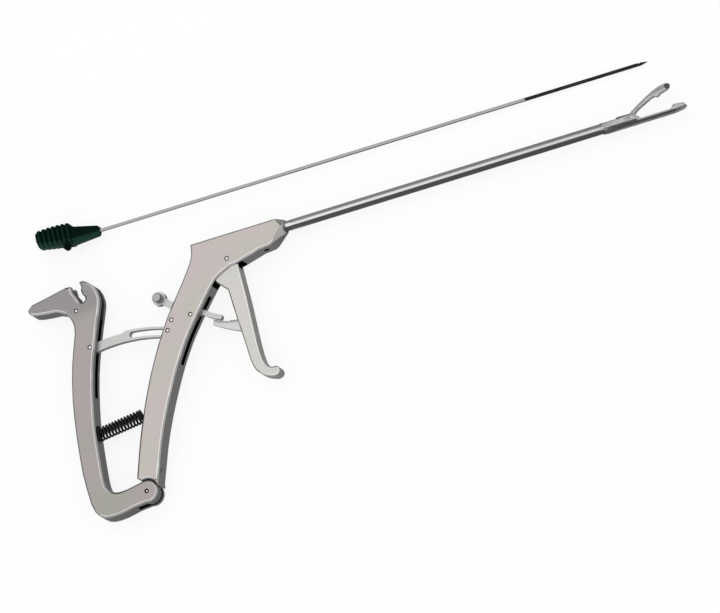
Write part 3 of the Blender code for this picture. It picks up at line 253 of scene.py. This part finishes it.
def close_finish(tree, colour, metallic, roughness, height=None, depth_mm=0.01, **constants):
    """Ends a tree in a Principled shader, with a bump where a height is given."""
    sockets = {"Base Color": colour, "Metallic": metallic, "Roughness": roughness}
    if height is not None:
        sockets["Normal"] = tree.add("ShaderNodeBump", {}, {"Height": height, "Distance": depth_mm * MM})
    for name, value in constants.items():
        sockets[name.replace("_", " ")] = value
    shader = tree.add("ShaderNodeBsdfPrincipled", {}, sockets)
    tree.add("ShaderNodeOutputMaterial", {}, {"Surface": shader})
    return tree.owner


# %% [markdown]
# ## Blasted steel for the plates
# The two handles and the trigger are cut from plate and blasted to a soft satin, which hides glare in the
# operating theatre. Three things make that finish: a grain too fine to see singly, broad clouds where the
# tint drifts from pinkish to olive grey, and edges. The long edges were broken with a stone, so they are
# smoother. Their colour is painted light: a painted highlight, lighter than the faces, on the plates, the
# lever and the ratchet bar, and a painted shade, darker than the faces, on the pins and turned parts. The
# side walls are darker, a painted shade. The surface normal tells faces, edges and walls apart, and it is the
# piece's own, so the finish turns with the piece. The insides of the slots are painted black, a painted
# shade. They face the same way as the outer faces, but they lie nearer to the middle plane, less than
# `skin_mm` from it, which is how the mask finds them. Fine dark lines of painted shade lie along the ratchet
# bar's toothed edge, between the teeth, and repeat with the angle about the trigger's pivot.

# %% Masks for the painted shade in slots and between ratchet teeth
def below_skin(place, skin_mm):
    """1 inside a slot, less than skin_mm from the middle plane, and 0 on the outer faces."""
    from_middle = abs(axis_of(place, "Z") - MID * MM)
    return 1 - rise(from_middle, (skin_mm - 0.3) * MM, (skin_mm - 0.1) * MM)


def ratchet_tooth_shade(place, pivot, tip_radius, root_radius, end_degrees, pitch_degrees):
    """Painted shade: 0 away from the toothed edge, and between 0.25 and 0.85 along it, darkest once in each
    tooth's pitch.
    """
    tree = place.tree
    left, down = (middle * MM - axis_of(place, axis) for middle, axis in zip(pivot, "XY"))
    radius = tree.maths("SQRT", left * left + down * down)
    turn = tree.maths("ARCTAN2", left, down) * math.degrees(1)
    valley_shade = tree.maths("PINGPONG", (end_degrees - turn) / pitch_degrees, 0.5) * 2
    near = 1 - rise(radius, tip_radius * MM, root_radius * MM)
    return near * (0.25 + 0.6 * valley_shade)


# %% [markdown]
# The finish itself lays these over each other, from the broad tints to the painted shade in the slots. Two
# more extras are there for single pieces: the rear handle's head is darker and its slot shallow, so that its
# painted shade is grey up there, not black, and the frame's screw hole is painted black, a painted shade in
# the hole.

# %% Blasted steel
HEAD_FROM, HEAD_TO = -16.0, -8.0
# Colours of painted shade: black in the slots, grey where the head's slot is shallow, and black in the screw
# hole.
SLOT_SHADE_BLACK = (0.012, 0.011, 0.011)
SHALLOW_SLOT_SHADE = (0.20, 0.19, 0.19)
PIT_SHADE_BLACK = (0.008, 0.007, 0.007)


def blasted_steel(
    name, rosy, olive, edge, painted_wall_shade, roughness=0.36, skin_mm=0.0, pit_shade=None, teeth=None, head=None
):
    """Satin steel: two drifting tints, broken edges in painted light, walls and slots in painted shade, by
    the normal.
    """
    tree, place = new_finish(name)
    upward = abs(axis_of(place.other("Normal"), "Z"))
    flat = rise(upward, 0.86, 0.97)
    broken = rise(upward, 0.38, 0.5) * (1 - flat)
    clouds = rise(noise(place, 26, 1.5), 0.36, 0.64)
    blotches = noise(place, 3.0, 3.0)
    grain = noise(place, 0.6, 2.0)
    patchy_painted_edge = rise(noise(place, 7.0, 3.0), 0.5, 0.75)
    face_colour = blend_colours(clouds, rosy, olive)
    if head:
        slot_end, head_colour = head
        level = axis_of(place, "Y")
        darker = 0.85 * rise(level, HEAD_FROM * MM, HEAD_TO * MM)
        face_colour = blend_colours(darker, face_colour, head_colour)
    # Painted shade: the side walls get a darker colour than the faces.
    shaded_wall_colour = shade(painted_wall_shade, 0.82 + 0.36 * blotches)
    colour = blend_colours(flat, shaded_wall_colour, face_colour)
    # Painted light on the broken edges: a highlight where the edge colour is lighter than the faces, and
    # shade where it is darker.
    colour = blend_colours(broken * (0.7 + 0.3 * patchy_painted_edge), colour, edge)
    colour = shade(colour, 0.89 + 0.10 * blotches + 0.12 * grain)
    # Painted shade: the insides of the slots are black, and grey where the rear handle's head makes the slot
    # shallow.
    if skin_mm:
        slot_shade = SLOT_SHADE_BLACK
        if head:
            shallow = rise(level, (slot_end - 0.6) * MM, (slot_end + 0.6) * MM)
            slot_shade = blend_colours(shallow, SLOT_SHADE_BLACK, SHALLOW_SLOT_SHADE)
        colour = blend_colours(rise(upward, 0.6, 0.8) * below_skin(place, skin_mm), colour, slot_shade)
    # Painted shade: everything near the frame's screw hole is black.
    if pit_shade:
        middle, pit_radius = pit_shade
        colour = blend_colours(ball(place, middle, pit_radius - 0.05, pit_radius), PIT_SHADE_BLACK, colour)
    surface = roughness + 0.10 * blotches - 0.17 * broken
    # Painted shade in the valleys between the ratchet's teeth.
    if teeth:
        colour = shade(colour, 1 - ratchet_tooth_shade(place, **teeth))
    return close_finish(tree, colour, 1.0, surface, grain * 0.6 + blotches * 0.5, 0.012)


# %% [markdown]
# ## Polished steel for tubes and pins
# A drawn tube is polished along its length, and fine lines stay in it. Noise that is squeezed fifty times
# along the x axis gives long lines. The shaft is duller towards the jaws, where it has been used and cleaned
# most, so its tone and gloss can fade between two places along it.

# %% Polished steel
def polished_steel(name, colour, roughness=0.16, fade=None):
    """Bright steel with fine lines along x, duller from one place along it to another."""
    tree, place = new_finish(name)
    lines = noise(place, 0.25, 2.0, (0.02, 1, 1))
    smears = noise(place, 6.0, 2.0)
    tone = 0.94 + 0.08 * lines + 0.05 * smears
    surface = roughness + 0.06 * lines + 0.05 * smears
    if fade:
        fade_from, fade_to, loss = fade
        worn = rise(axis_of(place, "X"), fade_from * MM, fade_to * MM)
        tone = tone * (1 - loss * worn)
        surface = surface + 0.08 * worn
    return close_finish(tree, shade(colour, tone), 1.0, surface, lines, 0.003)


# %% [markdown]
# ## Brushed steel for the jaws
# The jaws are small, filed and brushed by hand, so their lines are coarser, and darker marks and lighter
# patches cross them. The block at the upper jaw's point is burnt dark by its hardening.

# %% Brushed steel
def brushed_steel(name, colour, roughness, burnt):
    """Steel with short brushed lines, dark marks, light patches and one burnt spot."""
    tree, place = new_finish(name)
    lines = noise(place, 0.22, 3.0, (0.08, 1, 1))
    marks = rise(noise(place, 0.8, 3.0), 0.52, 0.66)
    patches = rise(noise(place, 1.6, 2.0), 0.54, 0.66)
    tone = 0.74 + 0.36 * lines - 0.30 * marks + 0.12 * patches
    spot, spot_radius = burnt
    tone = tone * (0.22 + 0.78 * ball(place, spot, spot_radius - 0.35, spot_radius + 0.1))
    surface = roughness + 0.16 * marks
    return close_finish(tree, shade(colour, tone), 1.0, surface, lines + marks * 0.5, 0.012)


# %% [markdown]
# ## Black oxide and moulded plastic
# The springs and the needle's working end are blackened, a thin layer that rubs off on the crests and lets
# the steel through. The hub is a moulded plastic: deep green all through, with a faint grain from the mould
# and slightly duller patches where fingers touch it. Its underside and the crests of its ribs are a little
# lighter, which is painted light, and its cross peg is almost black.

# %% Black oxide and plastic
def black_oxide(name, colour, worn_colour, worn=0.25, stretch=(1, 1, 1)):
    """A thin black layer with patches where steel shows through."""
    tree, place = new_finish(name)
    patches = rise(noise(place, 1.1, 3.0, stretch), 0.52, 0.74) * worn
    fine = noise(place, 0.2, 2.0, stretch)
    tone = blend_colours(patches, colour, worn_colour)
    return close_finish(tree, tone, 0.85, 0.3 + 0.12 * fine - 0.1 * patches, fine, 0.006)


def moulded_plastic(name, colour, light, first_rib, rib_pitch, last_rib, peg):
    """Plastic with a mould's grain, painted light on the rib crests and underside, and a nearly black peg."""
    tree, place = new_finish(name)
    grain = noise(place, 0.3, 2.0)
    touched = rise(noise(place, 5.0, 2.0), 0.4, 0.7)
    # Painted light: the underside and the rib crests are lighter.
    under = rise(axis_of(place.other("Normal"), "Y") * -1, 0.35, 0.85)
    along = axis_of(place, "X")
    groove = tree.maths("PINGPONG", (along - first_rib * MM) / (rib_pitch * MM), 0.5) * 2
    ribbed = 1 - rise(along, (last_rib - 0.2) * MM, last_rib * MM)
    crest_highlight = ribbed * rise(groove, 0.35, 0.8)
    tone = blend_colours(tree.maths("MAXIMUM", under * 0.85, crest_highlight * 0.17), colour, light)
    tone = shade(tone, (0.7 + 0.6 * grain) * (0.3 + 0.7 * ball(place, peg, 1.5, 2.1)))
    return close_finish(tree, tone, 0.0, 0.42 + 0.12 * touched, grain, 0.01, Specular_IOR_Level=0.03)


# %% [markdown]
# ## The finishes of this instrument
# Each finish takes the name of its slot in the record, so that another scene can repaint it. The trigger is
# a little lighter than the frame, and the rear handle a little darker, as in the photograph. The colours of
# a blasted finish are its two tints, its broken edges and its side walls, in that order. Three finishes have
# no slot of their own: the ratchet bar, the turned parts and the pins share a slot with plainer pieces.

# %% Give every solid its finish
finishes = {
    "satin_steel": blasted_steel(
        "satin_steel", (0.578, 0.508, 0.503), (0.538, 0.525, 0.470), (0.99, 0.98, 0.96),
        (0.33, 0.32, 0.315), skin_mm=4.9, pit_shade=((16.5, -7.0, MID), 1.4),
    ),
    "rear_handle_steel": blasted_steel(
        "rear_handle_steel", (0.425, 0.377, 0.376), (0.392, 0.386, 0.350), (0.86, 0.84, 0.83),
        (0.25, 0.24, 0.24), skin_mm=4.9, head=(-14.7, (0.305, 0.290, 0.294)),
    ),
    "trigger_steel": blasted_steel(
        "trigger_steel", (0.665, 0.635, 0.615), (0.640, 0.630, 0.590), (0.99, 0.98, 0.96),
        (0.50, 0.49, 0.48), skin_mm=3.6,
    ),
    "lever_steel": blasted_steel(
        "lever_steel", (0.600, 0.580, 0.585), (0.580, 0.575, 0.560), (0.92, 0.91, 0.91),
        (0.34, 0.33, 0.33), roughness=0.3,
    ),
    "ratchet_steel": blasted_steel(
        "ratchet_steel", (0.68, 0.66, 0.668), (0.65, 0.64, 0.635), (0.85, 0.84, 0.84), (0.52, 0.51, 0.51),
        roughness=0.3, teeth={
            "pivot": (0.0, -7.2), "tip_radius": 25.9, "root_radius": 27.6,
            "end_degrees": 28.0, "pitch_degrees": 1.78,
        },
    ),
    "turned_steel": blasted_steel(
        "turned_steel", (0.45, 0.43, 0.43), (0.43, 0.425, 0.41), (0.30, 0.29, 0.29),
        (0.20, 0.20, 0.20), roughness=0.34,
    ),
    "jaw_steel": brushed_steel("jaw_steel", (0.56, 0.56, 0.57), 0.3, ((201.6, 9.3, 6.1), 1.4)),
    "polished_steel": polished_steel("polished_steel", (0.70, 0.70, 0.71), fade=(40, 190, 0.16)),
    "pin_steel": blasted_steel(
        "pin_steel", (0.80, 0.79, 0.79), (0.78, 0.77, 0.76), (0.70, 0.69, 0.69),
        (0.10, 0.10, 0.10), roughness=0.2, skin_mm=4.5,
    ),
    "needle_steel": polished_steel("needle_steel", (0.42, 0.42, 0.43), 0.24),
    "needle_black": black_oxide(
        "needle_black", (0.02, 0.02, 0.021), (0.16, 0.16, 0.16), 0.3, stretch=(0.1, 1, 1)
    ),
    "spring_black": black_oxide("spring_black", (0.018, 0.018, 0.018), (0.12, 0.12, 0.12)),
    "hub_green": moulded_plastic(
        "hub_green", (0.0002, 0.0070, 0.0042), (0.018, 0.056, 0.040),
        first_rib=-79.9, rib_pitch=2.15, last_rib=-64.6, peg=(-66.9, 18.3, 9.5),
    ),
}

special_finishes = {"ratchet_bar": "ratchet_steel", "shaft_collar": "turned_steel"}
for part in frame["record"]["subparts"]:
    solid = nodes[part["node"]]
    solid.data.materials.clear()
    solid.data.materials.append(finishes[special_finishes.get(part["node"], part["material_slot"])])
print("finishes:", len(finishes))

# %% [markdown]
# ## A helper that closes a new piece
# Every piece that is modelled here ends the same way: doubles merged, faces turned outwards, smooth shading
# with sharp corners kept, a finish, and the CAD body that it rides on. Points less than a thousandth of a
# millimetre apart count as one.

# %% Close a piece
MERGE_WITHIN = 1e-6
SMOOTH_UP_TO = math.radians(32)


def close_piece(name, shape, body, slot, finish=None, stands_for=()):
    """Makes the finished object, which may stand in for CAD solids."""
    bmesh.ops.remove_doubles(shape, verts=shape.verts, dist=MERGE_WITHIN)
    bmesh.ops.recalc_face_normals(shape, faces=shape.faces)
    mesh = bpy.data.meshes.new(name)
    shape.to_mesh(mesh)
    shape.free()
    mesh.shade_smooth()
    mesh.set_sharp_from_angle(angle=SMOOTH_UP_TO)
    mesh.materials.append(finishes[finish or slot])
    piece = bpy.data.objects.new(name, mesh)
    bpy.context.scene.collection.objects.link(piece)
    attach(piece, body)
    if stands_for:
        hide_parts(*stands_for)
    print(name, "faces:", len(mesh.polygons))
    return piece


# %% [markdown]
# ## Turned pins
# The cross pins are turned on a lathe, so the tool for them is spin: a half profile goes once round the axis
# and is then mirrored to make the far end. The head is slightly domed and a groove runs round it, which is
# what shows in the photograph as a dark ring with a bright middle. The main pivot has a smaller middle and a
# wider groove. Each profile is a list of radius and height above the middle plane, in millimetres.

# %% A tool for turned pieces
def turned(profile, place, steps=40):
    """Spins (radius, height) points in millimetres round a vertical axis and mirrors them downwards."""
    shape = bmesh.new()
    corners = [shape.verts.new((radius * MM, 0, height * MM)) for radius, height in profile]
    for pair in zip(corners, corners[1:]):
        shape.edges.new(pair)
    bmesh.ops.spin(
        shape, geom=shape.verts[:] + shape.edges[:], cent=(0, 0, 0), axis=(0, 0, 1),
        angle=math.tau, steps=steps, use_merge=True,
    )
    bmesh.ops.remove_doubles(shape, verts=shape.verts, dist=MERGE_WITHIN)
    everything = shape.verts[:] + shape.edges[:] + shape.faces[:]
    bmesh.ops.mirror(shape, geom=everything, axis="Z", merge_dist=MERGE_WITHIN)
    bmesh.ops.translate(shape, vec=place, verts=shape.verts)
    return shape


def middle_of(node):
    """The middle of a CAD solid's box."""
    low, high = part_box(node)
    return (Vector(low) + Vector(high)) / 2


# %% Pins
PIN_PROFILE = [
    (0.0, 4.93), (0.35, 4.92), (0.58, 4.86), (0.68, 4.74), (0.71, 4.55), (0.72, 4.24), (0.94, 4.22),
    (0.95, 4.14), (0.95, 0.0),
]
PIVOT_PROFILE = [
    (0.0, 4.90), (0.30, 4.89), (0.42, 4.80), (0.46, 4.60), (0.47, 4.15), (0.94, 4.13), (0.95, 4.05),
    (0.95, 0.0),
]
pin_bodies = {
    "trigger_pivot_pin": "root",
    "release_pin": "root",
    "leaf_spring_pin": "root",
    "guide_stop_pin": "root",
    "main_pivot_pin": "root",
    "guide_link_pin": "rear_handle",
    "hub_stop_pin": "rear_handle",
}
for pin, body in pin_bodies.items():
    profile = PIVOT_PROFILE if pin == "main_pivot_pin" else PIN_PROFILE
    shape = turned(profile, middle_of(pin))
    close_piece(pin + "_turned", shape, body, "polished_steel", "pin_steel", stands_for=[pin])

# %% [markdown]
# The release knob is a short bar across the lever's eye, turned too. Its ends are flat with a small rounding,
# and it is slimmer in the middle, where it goes through the eye.

# %% The release knob
KNOB_PROFILE = [
    (0.0, 4.50), (1.45, 4.49), (1.68, 4.42), (1.84, 4.26), (1.93, 4.02), (1.95, 3.8), (1.95, 1.75),
    (1.88, 1.52), (1.70, 1.46), (1.35, 1.45), (1.35, 0.0),
]
close_piece(
    "release_knob_turned", turned(KNOB_PROFILE, middle_of("release_knob"), 48), "release_lever",
    "lever_steel", "turned_steel", stands_for=["release_knob"],
)

# %% [markdown]
# ## The return spring
# The spring between the handles opens them again. A compression spring has one closed coil at each end and
# open coils between. Spin makes a screw when each step also moves along the axis, so the wire's round section
# is spun three times, each run taking up where the last one ended. When the handles close, the spring has to
# shorten.

# %% Coil the spring
WIRE = 0.44 * MM
COIL = 2.62 * MM
WIRE_SIDES = 12
CLOSED_PITCH = 2.04 * WIRE
SPRING_TURNS = 15.5
STEPS_PER_TURN = 28
spring_rear = Vector((-72.67, -63.40, MID)) * MM
spring_front = Vector((-51.63, -60.86, MID)) * MM
spring_axis = (spring_front - spring_rear).normalized()
open_pitch = ((spring_front - spring_rear).length - 2 * CLOSED_PITCH) / (SPRING_TURNS - 2)

spring_shape = bmesh.new()
upwards = Vector((0, 0, 1))
sideways = spring_axis.cross(upwards)
section = Matrix.Translation(spring_rear + upwards * COIL) @ Matrix((
    (spring_axis.x, upwards.x, sideways.x, 0),
    (spring_axis.y, upwards.y, sideways.y, 0),
    (spring_axis.z, upwards.z, sideways.z, 0),
    (0, 0, 0, 1),
))
bmesh.ops.create_circle(spring_shape, cap_ends=True, segments=WIRE_SIDES, radius=WIRE, matrix=section)
wire_end = spring_shape.verts[:] + spring_shape.edges[:] + spring_shape.faces[:]
for turns, pitch in ((1.0, CLOSED_PITCH), (SPRING_TURNS - 2, open_pitch), (1.0, CLOSED_PITCH)):
    steps = round(turns * STEPS_PER_TURN)
    run = bmesh.ops.spin(
        spring_shape, geom=wire_end, cent=spring_rear, axis=spring_axis,
        dvec=spring_axis * pitch / STEPS_PER_TURN, angle=math.tau * turns, steps=steps,
    )
    wire_end = run["geom_last"]
spring = close_piece(
    "return_spring_coiled", spring_shape, "root", "spring_black", stands_for=["return_spring"]
)
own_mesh(spring)

# %% [markdown]
# ## Softened copies of the small solids
# A CAD solid has knife edges, and real small parts are tumbled until their corners shine. For the two jaws
# and the moulded hub, a copy of the solid has its triangles merged into whole faces, and each sharp edge gets
# a narrow rounding, which then catches the light.

# %% Soften the small parts
SHARP_FROM = math.radians(35)
FLAT_WITHIN = math.radians(0.5)


def softened(node, body, slot, width_mm):
    """A copy of a solid with its sharp edges rounded, which stands in for the solid."""
    shape = bmesh.new()
    shape.from_mesh(nodes[node].data)
    bmesh.ops.remove_doubles(shape, verts=shape.verts, dist=MERGE_WITHIN)
    bmesh.ops.dissolve_limit(
        shape, angle_limit=FLAT_WITHIN, verts=shape.verts, edges=shape.edges, delimit=set()
    )
    sharp = [e for e in shape.edges if len(e.link_faces) == 2 and e.calc_face_angle() > SHARP_FROM]
    bmesh.ops.bevel(
        shape, geom=sharp, offset=width_mm * MM, segments=2, profile=0.5, affect="EDGES", material=-1,
        clamp_overlap=True,
    )
    return close_piece(node + "_softened", shape, body, slot, stands_for=[node])


softened("needle_hub", "root", "hub_green", 0.22)
softened("upper_jaw", "upper_jaw", "jaw_steel", 0.08)
softened("lower_jaw", "root", "jaw_steel", 0.06)

# %% [markdown]
# The leaf spring inside the frame is coiled round its pin, and its free end lies under the release lever's
# arm. When the knob is pressed, the arm pushes that end down. Its copy is softened like the jaws and the hub.

# %% Soften the leaf spring
leaf = softened("release_spring", "root", "spring_black", 0.05)
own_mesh(leaf)

# %% [markdown]
# ## Teeth on the jaws
# The lower jaw's raised tip is cut across with fine grooves, so that it holds tissue. Each tooth is a small
# bar turned on its corner and sunk most of the way into the jaw. Eight of them follow the slope of the tip.

# %% Cut the teeth
TEETH = 8
TOOTH_SIZE = 0.42 * MM
TOOTH_LENGTH = 3.8 * MM
teeth_from = Vector((203.0, 0.62, MID)) * MM
teeth_to = Vector((206.9, 0.02, MID)) * MM

teeth_shape = bmesh.new()
for index in range(TEETH):
    place = Matrix.Translation(teeth_from.lerp(teeth_to, index / (TEETH - 1)))
    corner_up = Matrix.Rotation(math.radians(45), 4, "Z")
    bar = Matrix.Diagonal((TOOTH_SIZE, TOOTH_SIZE, TOOTH_LENGTH, 1))
    bmesh.ops.create_cube(teeth_shape, size=1.0, matrix=place @ corner_up @ bar)
close_piece("lower_jaw_teeth", teeth_shape, "root", "jaw_steel")

# %% [markdown]
# ## The studio
# Polished metal shows its surroundings more than itself, so the studio is half of its look. The floor is
# plain white: what the camera sees of it is mostly glow, so that the paper looks evenly white and still takes
# a soft shadow. The world is an even white too, so a colour renders about as it is written.

# %% Floor and world
FLOOR_SIZE = 20.0
FLOOR_DROP = 0.0001
PAPER_GLOW = 0.85


def stage_piece(name, shape, finish):
    """An object of the studio, which isn't part of the instrument."""
    mesh = bpy.data.meshes.new(name)
    shape.to_mesh(mesh)
    shape.free()
    mesh.materials.append(finish)
    piece = bpy.data.objects.new(name, mesh)
    bpy.context.scene.collection.objects.link(piece)
    piece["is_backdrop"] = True
    print(name, "is on the stage")
    return piece


floor_tree = Tree(bpy.data.materials.new("floor_white"))
rays = floor_tree.add("ShaderNodeLightPath", output="Is Camera Ray")
looked_at = floor_tree.maths("MAXIMUM", rays, rays.other("Is Glossy Ray"))
seen = floor_tree.maths("MAXIMUM", looked_at, rays.other("Is Transmission Ray"))
paper = floor_tree.add(
    "ShaderNodeBsdfPrincipled", {}, {"Base Color": (0.93, 0.93, 0.93), "Roughness": 0.9}
)
glow = floor_tree.add("ShaderNodeEmission", {}, {"Color": (1.0, 1.0, 1.0), "Strength": 1.0})
white_paper = floor_tree.add("ShaderNodeMixShader", {}, {0: seen * PAPER_GLOW, 1: paper, 2: glow})
floor_tree.add("ShaderNodeOutputMaterial", {}, {"Surface": white_paper})
floor_shape = bmesh.new()
bmesh.ops.create_grid(
    floor_shape, x_segments=1, y_segments=1, size=FLOOR_SIZE,
    matrix=Matrix.Translation((0, 0, -FLOOR_DROP)),
)
stage_piece("floor", floor_shape, floor_tree.owner)

world = bpy.data.worlds.new("even_white")
bpy.context.scene.world = world
world_tree = Tree(world)
even_white = world_tree.add("ShaderNodeBackground", {}, {"Color": (1.0, 1.0, 1.0), "Strength": 1.0})
world_tree.add("ShaderNodeOutputWorld", {}, {"Surface": even_white})

# %% [markdown]
# A photographer shapes the reflections in a shiny tube with strips of card held close to it. Here each card
# is half a pipe along the x axis that only reflections see. Its brightness depends on the angle round the
# pipe: a ray that leaves the metal upwards meets the bright strip, one that leaves it forwards meets the
# dark side, and one that leaves it backwards meets grey. The cards are small, so that the handles don't
# reflect them. One goes along the tube, a tighter one covers the tube's first millimetres at the nose, and a
# wide one stands over the jaws.

# %% Cards that only reflections see
BRIGHT_STRIP = 1.15
GREY_SIDE = 0.30
DARK_SIDE = 0.10
SOFT_EDGE = 7


def only_reflected(card):
    """Hides a card from everything but reflections."""
    card.visible_camera = False
    card.visible_diffuse = False
    card.visible_transmission = False
    card.visible_volume_scatter = False
    card.visible_shadow = False
    return card


def half_pipe_card(name, x_from, x_to, y, radius, strip_from, strip_to, grey=GREY_SIDE):
    """A card bent round the x axis, bright between two angles from straight up, in degrees."""
    tree, place = new_finish(name)
    angle = tree.maths("ARCTAN2", axis_of(place, "Y") - y * MM, axis_of(place, "Z") - MID * MM)
    begin, end = (
        rise(angle, math.radians(edge - SOFT_EDGE), math.radians(edge + SOFT_EDGE))
        for edge in (strip_from, strip_to)
    )
    light = DARK_SIDE + begin * (BRIGHT_STRIP - DARK_SIDE) + end * (grey - BRIGHT_STRIP)
    glow = tree.add("ShaderNodeEmission", {}, {"Color": (1.0, 1.0, 1.0), "Strength": light})
    tree.add("ShaderNodeOutputMaterial", {}, {"Surface": glow})
    shape = bmesh.new()
    rim = [shape.verts.new((x * MM, (y - radius) * MM, MID * MM)) for x in (x_from, x_to)]
    bmesh.ops.spin(
        shape, geom=[*rim, shape.edges.new(rim)], cent=(0, y * MM, MID * MM), axis=(-1, 0, 0),
        angle=math.pi, steps=48,
    )
    return only_reflected(stage_piece(name, shape, tree.owner))


half_pipe_card("tube_card", 27.6, 170.0, 0.0, 4.2, -22, 16)
half_pipe_card("mouth_card", 27.03, 29.5, 0.0, 2.6, -22, 16)
half_pipe_card("jaw_card", 163.0, 216.0, 4.0, 18.0, -10, 20, grey=0.6)

# %% [markdown]
# A sheet of grey card lies under the whole instrument, again seen by reflections alone. It keeps the side
# walls of the plates dark against the white floor, as in the photograph. It is darkest under the tube, a
# little lighter behind the frame's top edge, and it fades to white far out. Its measures are in metres.
# This sheet is painted shade: it stands in for the floor's shade near the instrument, and its darkest part is
# a painted shadow of the tube.

# %% The grey card of painted shade on the floor
CARD_MIDDLE = (0.06, -0.03)
CARD_SIZE = 0.6
GREY_HALF_LENGTH, GREY_HALF_WIDTH = 0.2, 0.12
FADE_WIDTH = 0.35
WALL_GREY = 0.38
FAR_OUT, TUBE_SHADOW, BEHIND_FRAME = 0.56, -0.26, 0.2
card_tree, card_place = new_finish("painted_shade_card")
card_x, card_y = axis_of(card_place, "X"), axis_of(card_place, "Y")
aside_x = abs(card_x - CARD_MIDDLE[0]) - GREY_HALF_LENGTH
aside_y = abs(card_y - CARD_MIDDLE[1]) - GREY_HALF_WIDTH
far_out = rise(card_tree.maths("MAXIMUM", aside_x, aside_y), 0.0, FADE_WIDTH)
tube_shadow = rise(card_x, 0.02, 0.04) * (1 - rise(card_x, 0.165, 0.178))
behind_frame = rise(card_y, 0.007, 0.014) * rise(card_x, -0.06, -0.045) * (1 - tube_shadow)
card_light = WALL_GREY + FAR_OUT * far_out + TUBE_SHADOW * tube_shadow + BEHIND_FRAME * behind_frame
card_glow = card_tree.add("ShaderNodeEmission", {}, {"Color": (1.0, 1.0, 1.0), "Strength": card_light})
card_tree.add("ShaderNodeOutputMaterial", {}, {"Surface": card_glow})
card_shape = bmesh.new()
bmesh.ops.create_grid(
    card_shape, x_segments=1, y_segments=1, size=CARD_SIZE,
    matrix=Matrix.Translation((*CARD_MIDDLE, 0.01 * MM)),
)
only_reflected(stage_piece("painted_shade_card", card_shape, card_tree.owner))

# %% [markdown]
# One large soft lamp behind the instrument, on the left, gives the edges a direction. Its own shape is kept
# out of the reflections, because it would show as a white patch on the satin faces.

# %% Soft lamp
LAMP_PLACE = (-0.3, 0.55, 1.2)
lamp_data = bpy.data.lights.new("soft_lamp", "AREA")
lamp_data.shape = "SQUARE"
lamp_data.size = 0.7
lamp_data.energy = 1.5
lamp = bpy.data.objects.new("soft_lamp", lamp_data)
bpy.context.scene.collection.objects.link(lamp)
lamp.location = LAMP_PLACE
lamp.visible_glossy = False
lamp.rotation_mode = "QUATERNION"
lamp.rotation_quaternion = (look_at - lamp.location).to_track_quat("-Z", "Y")
print("lamp in watts:", lamp_data.energy)

# %% [markdown]
# ## The last check
# The dressed instrument has to stay inside the CAD model's box. How far it grew past that box on each side is
# printed, in millimetres.

# %% Measure how far the box grew, and finish
low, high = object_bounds()
grown_low = [round((cad - new) / MM, 3) for cad, new in zip(cad_low, low)]
grown_high = [round((new - cad) / MM, 3) for cad, new in zip(cad_high, high)]
print("grown by, in mm:", grown_low, grown_high)
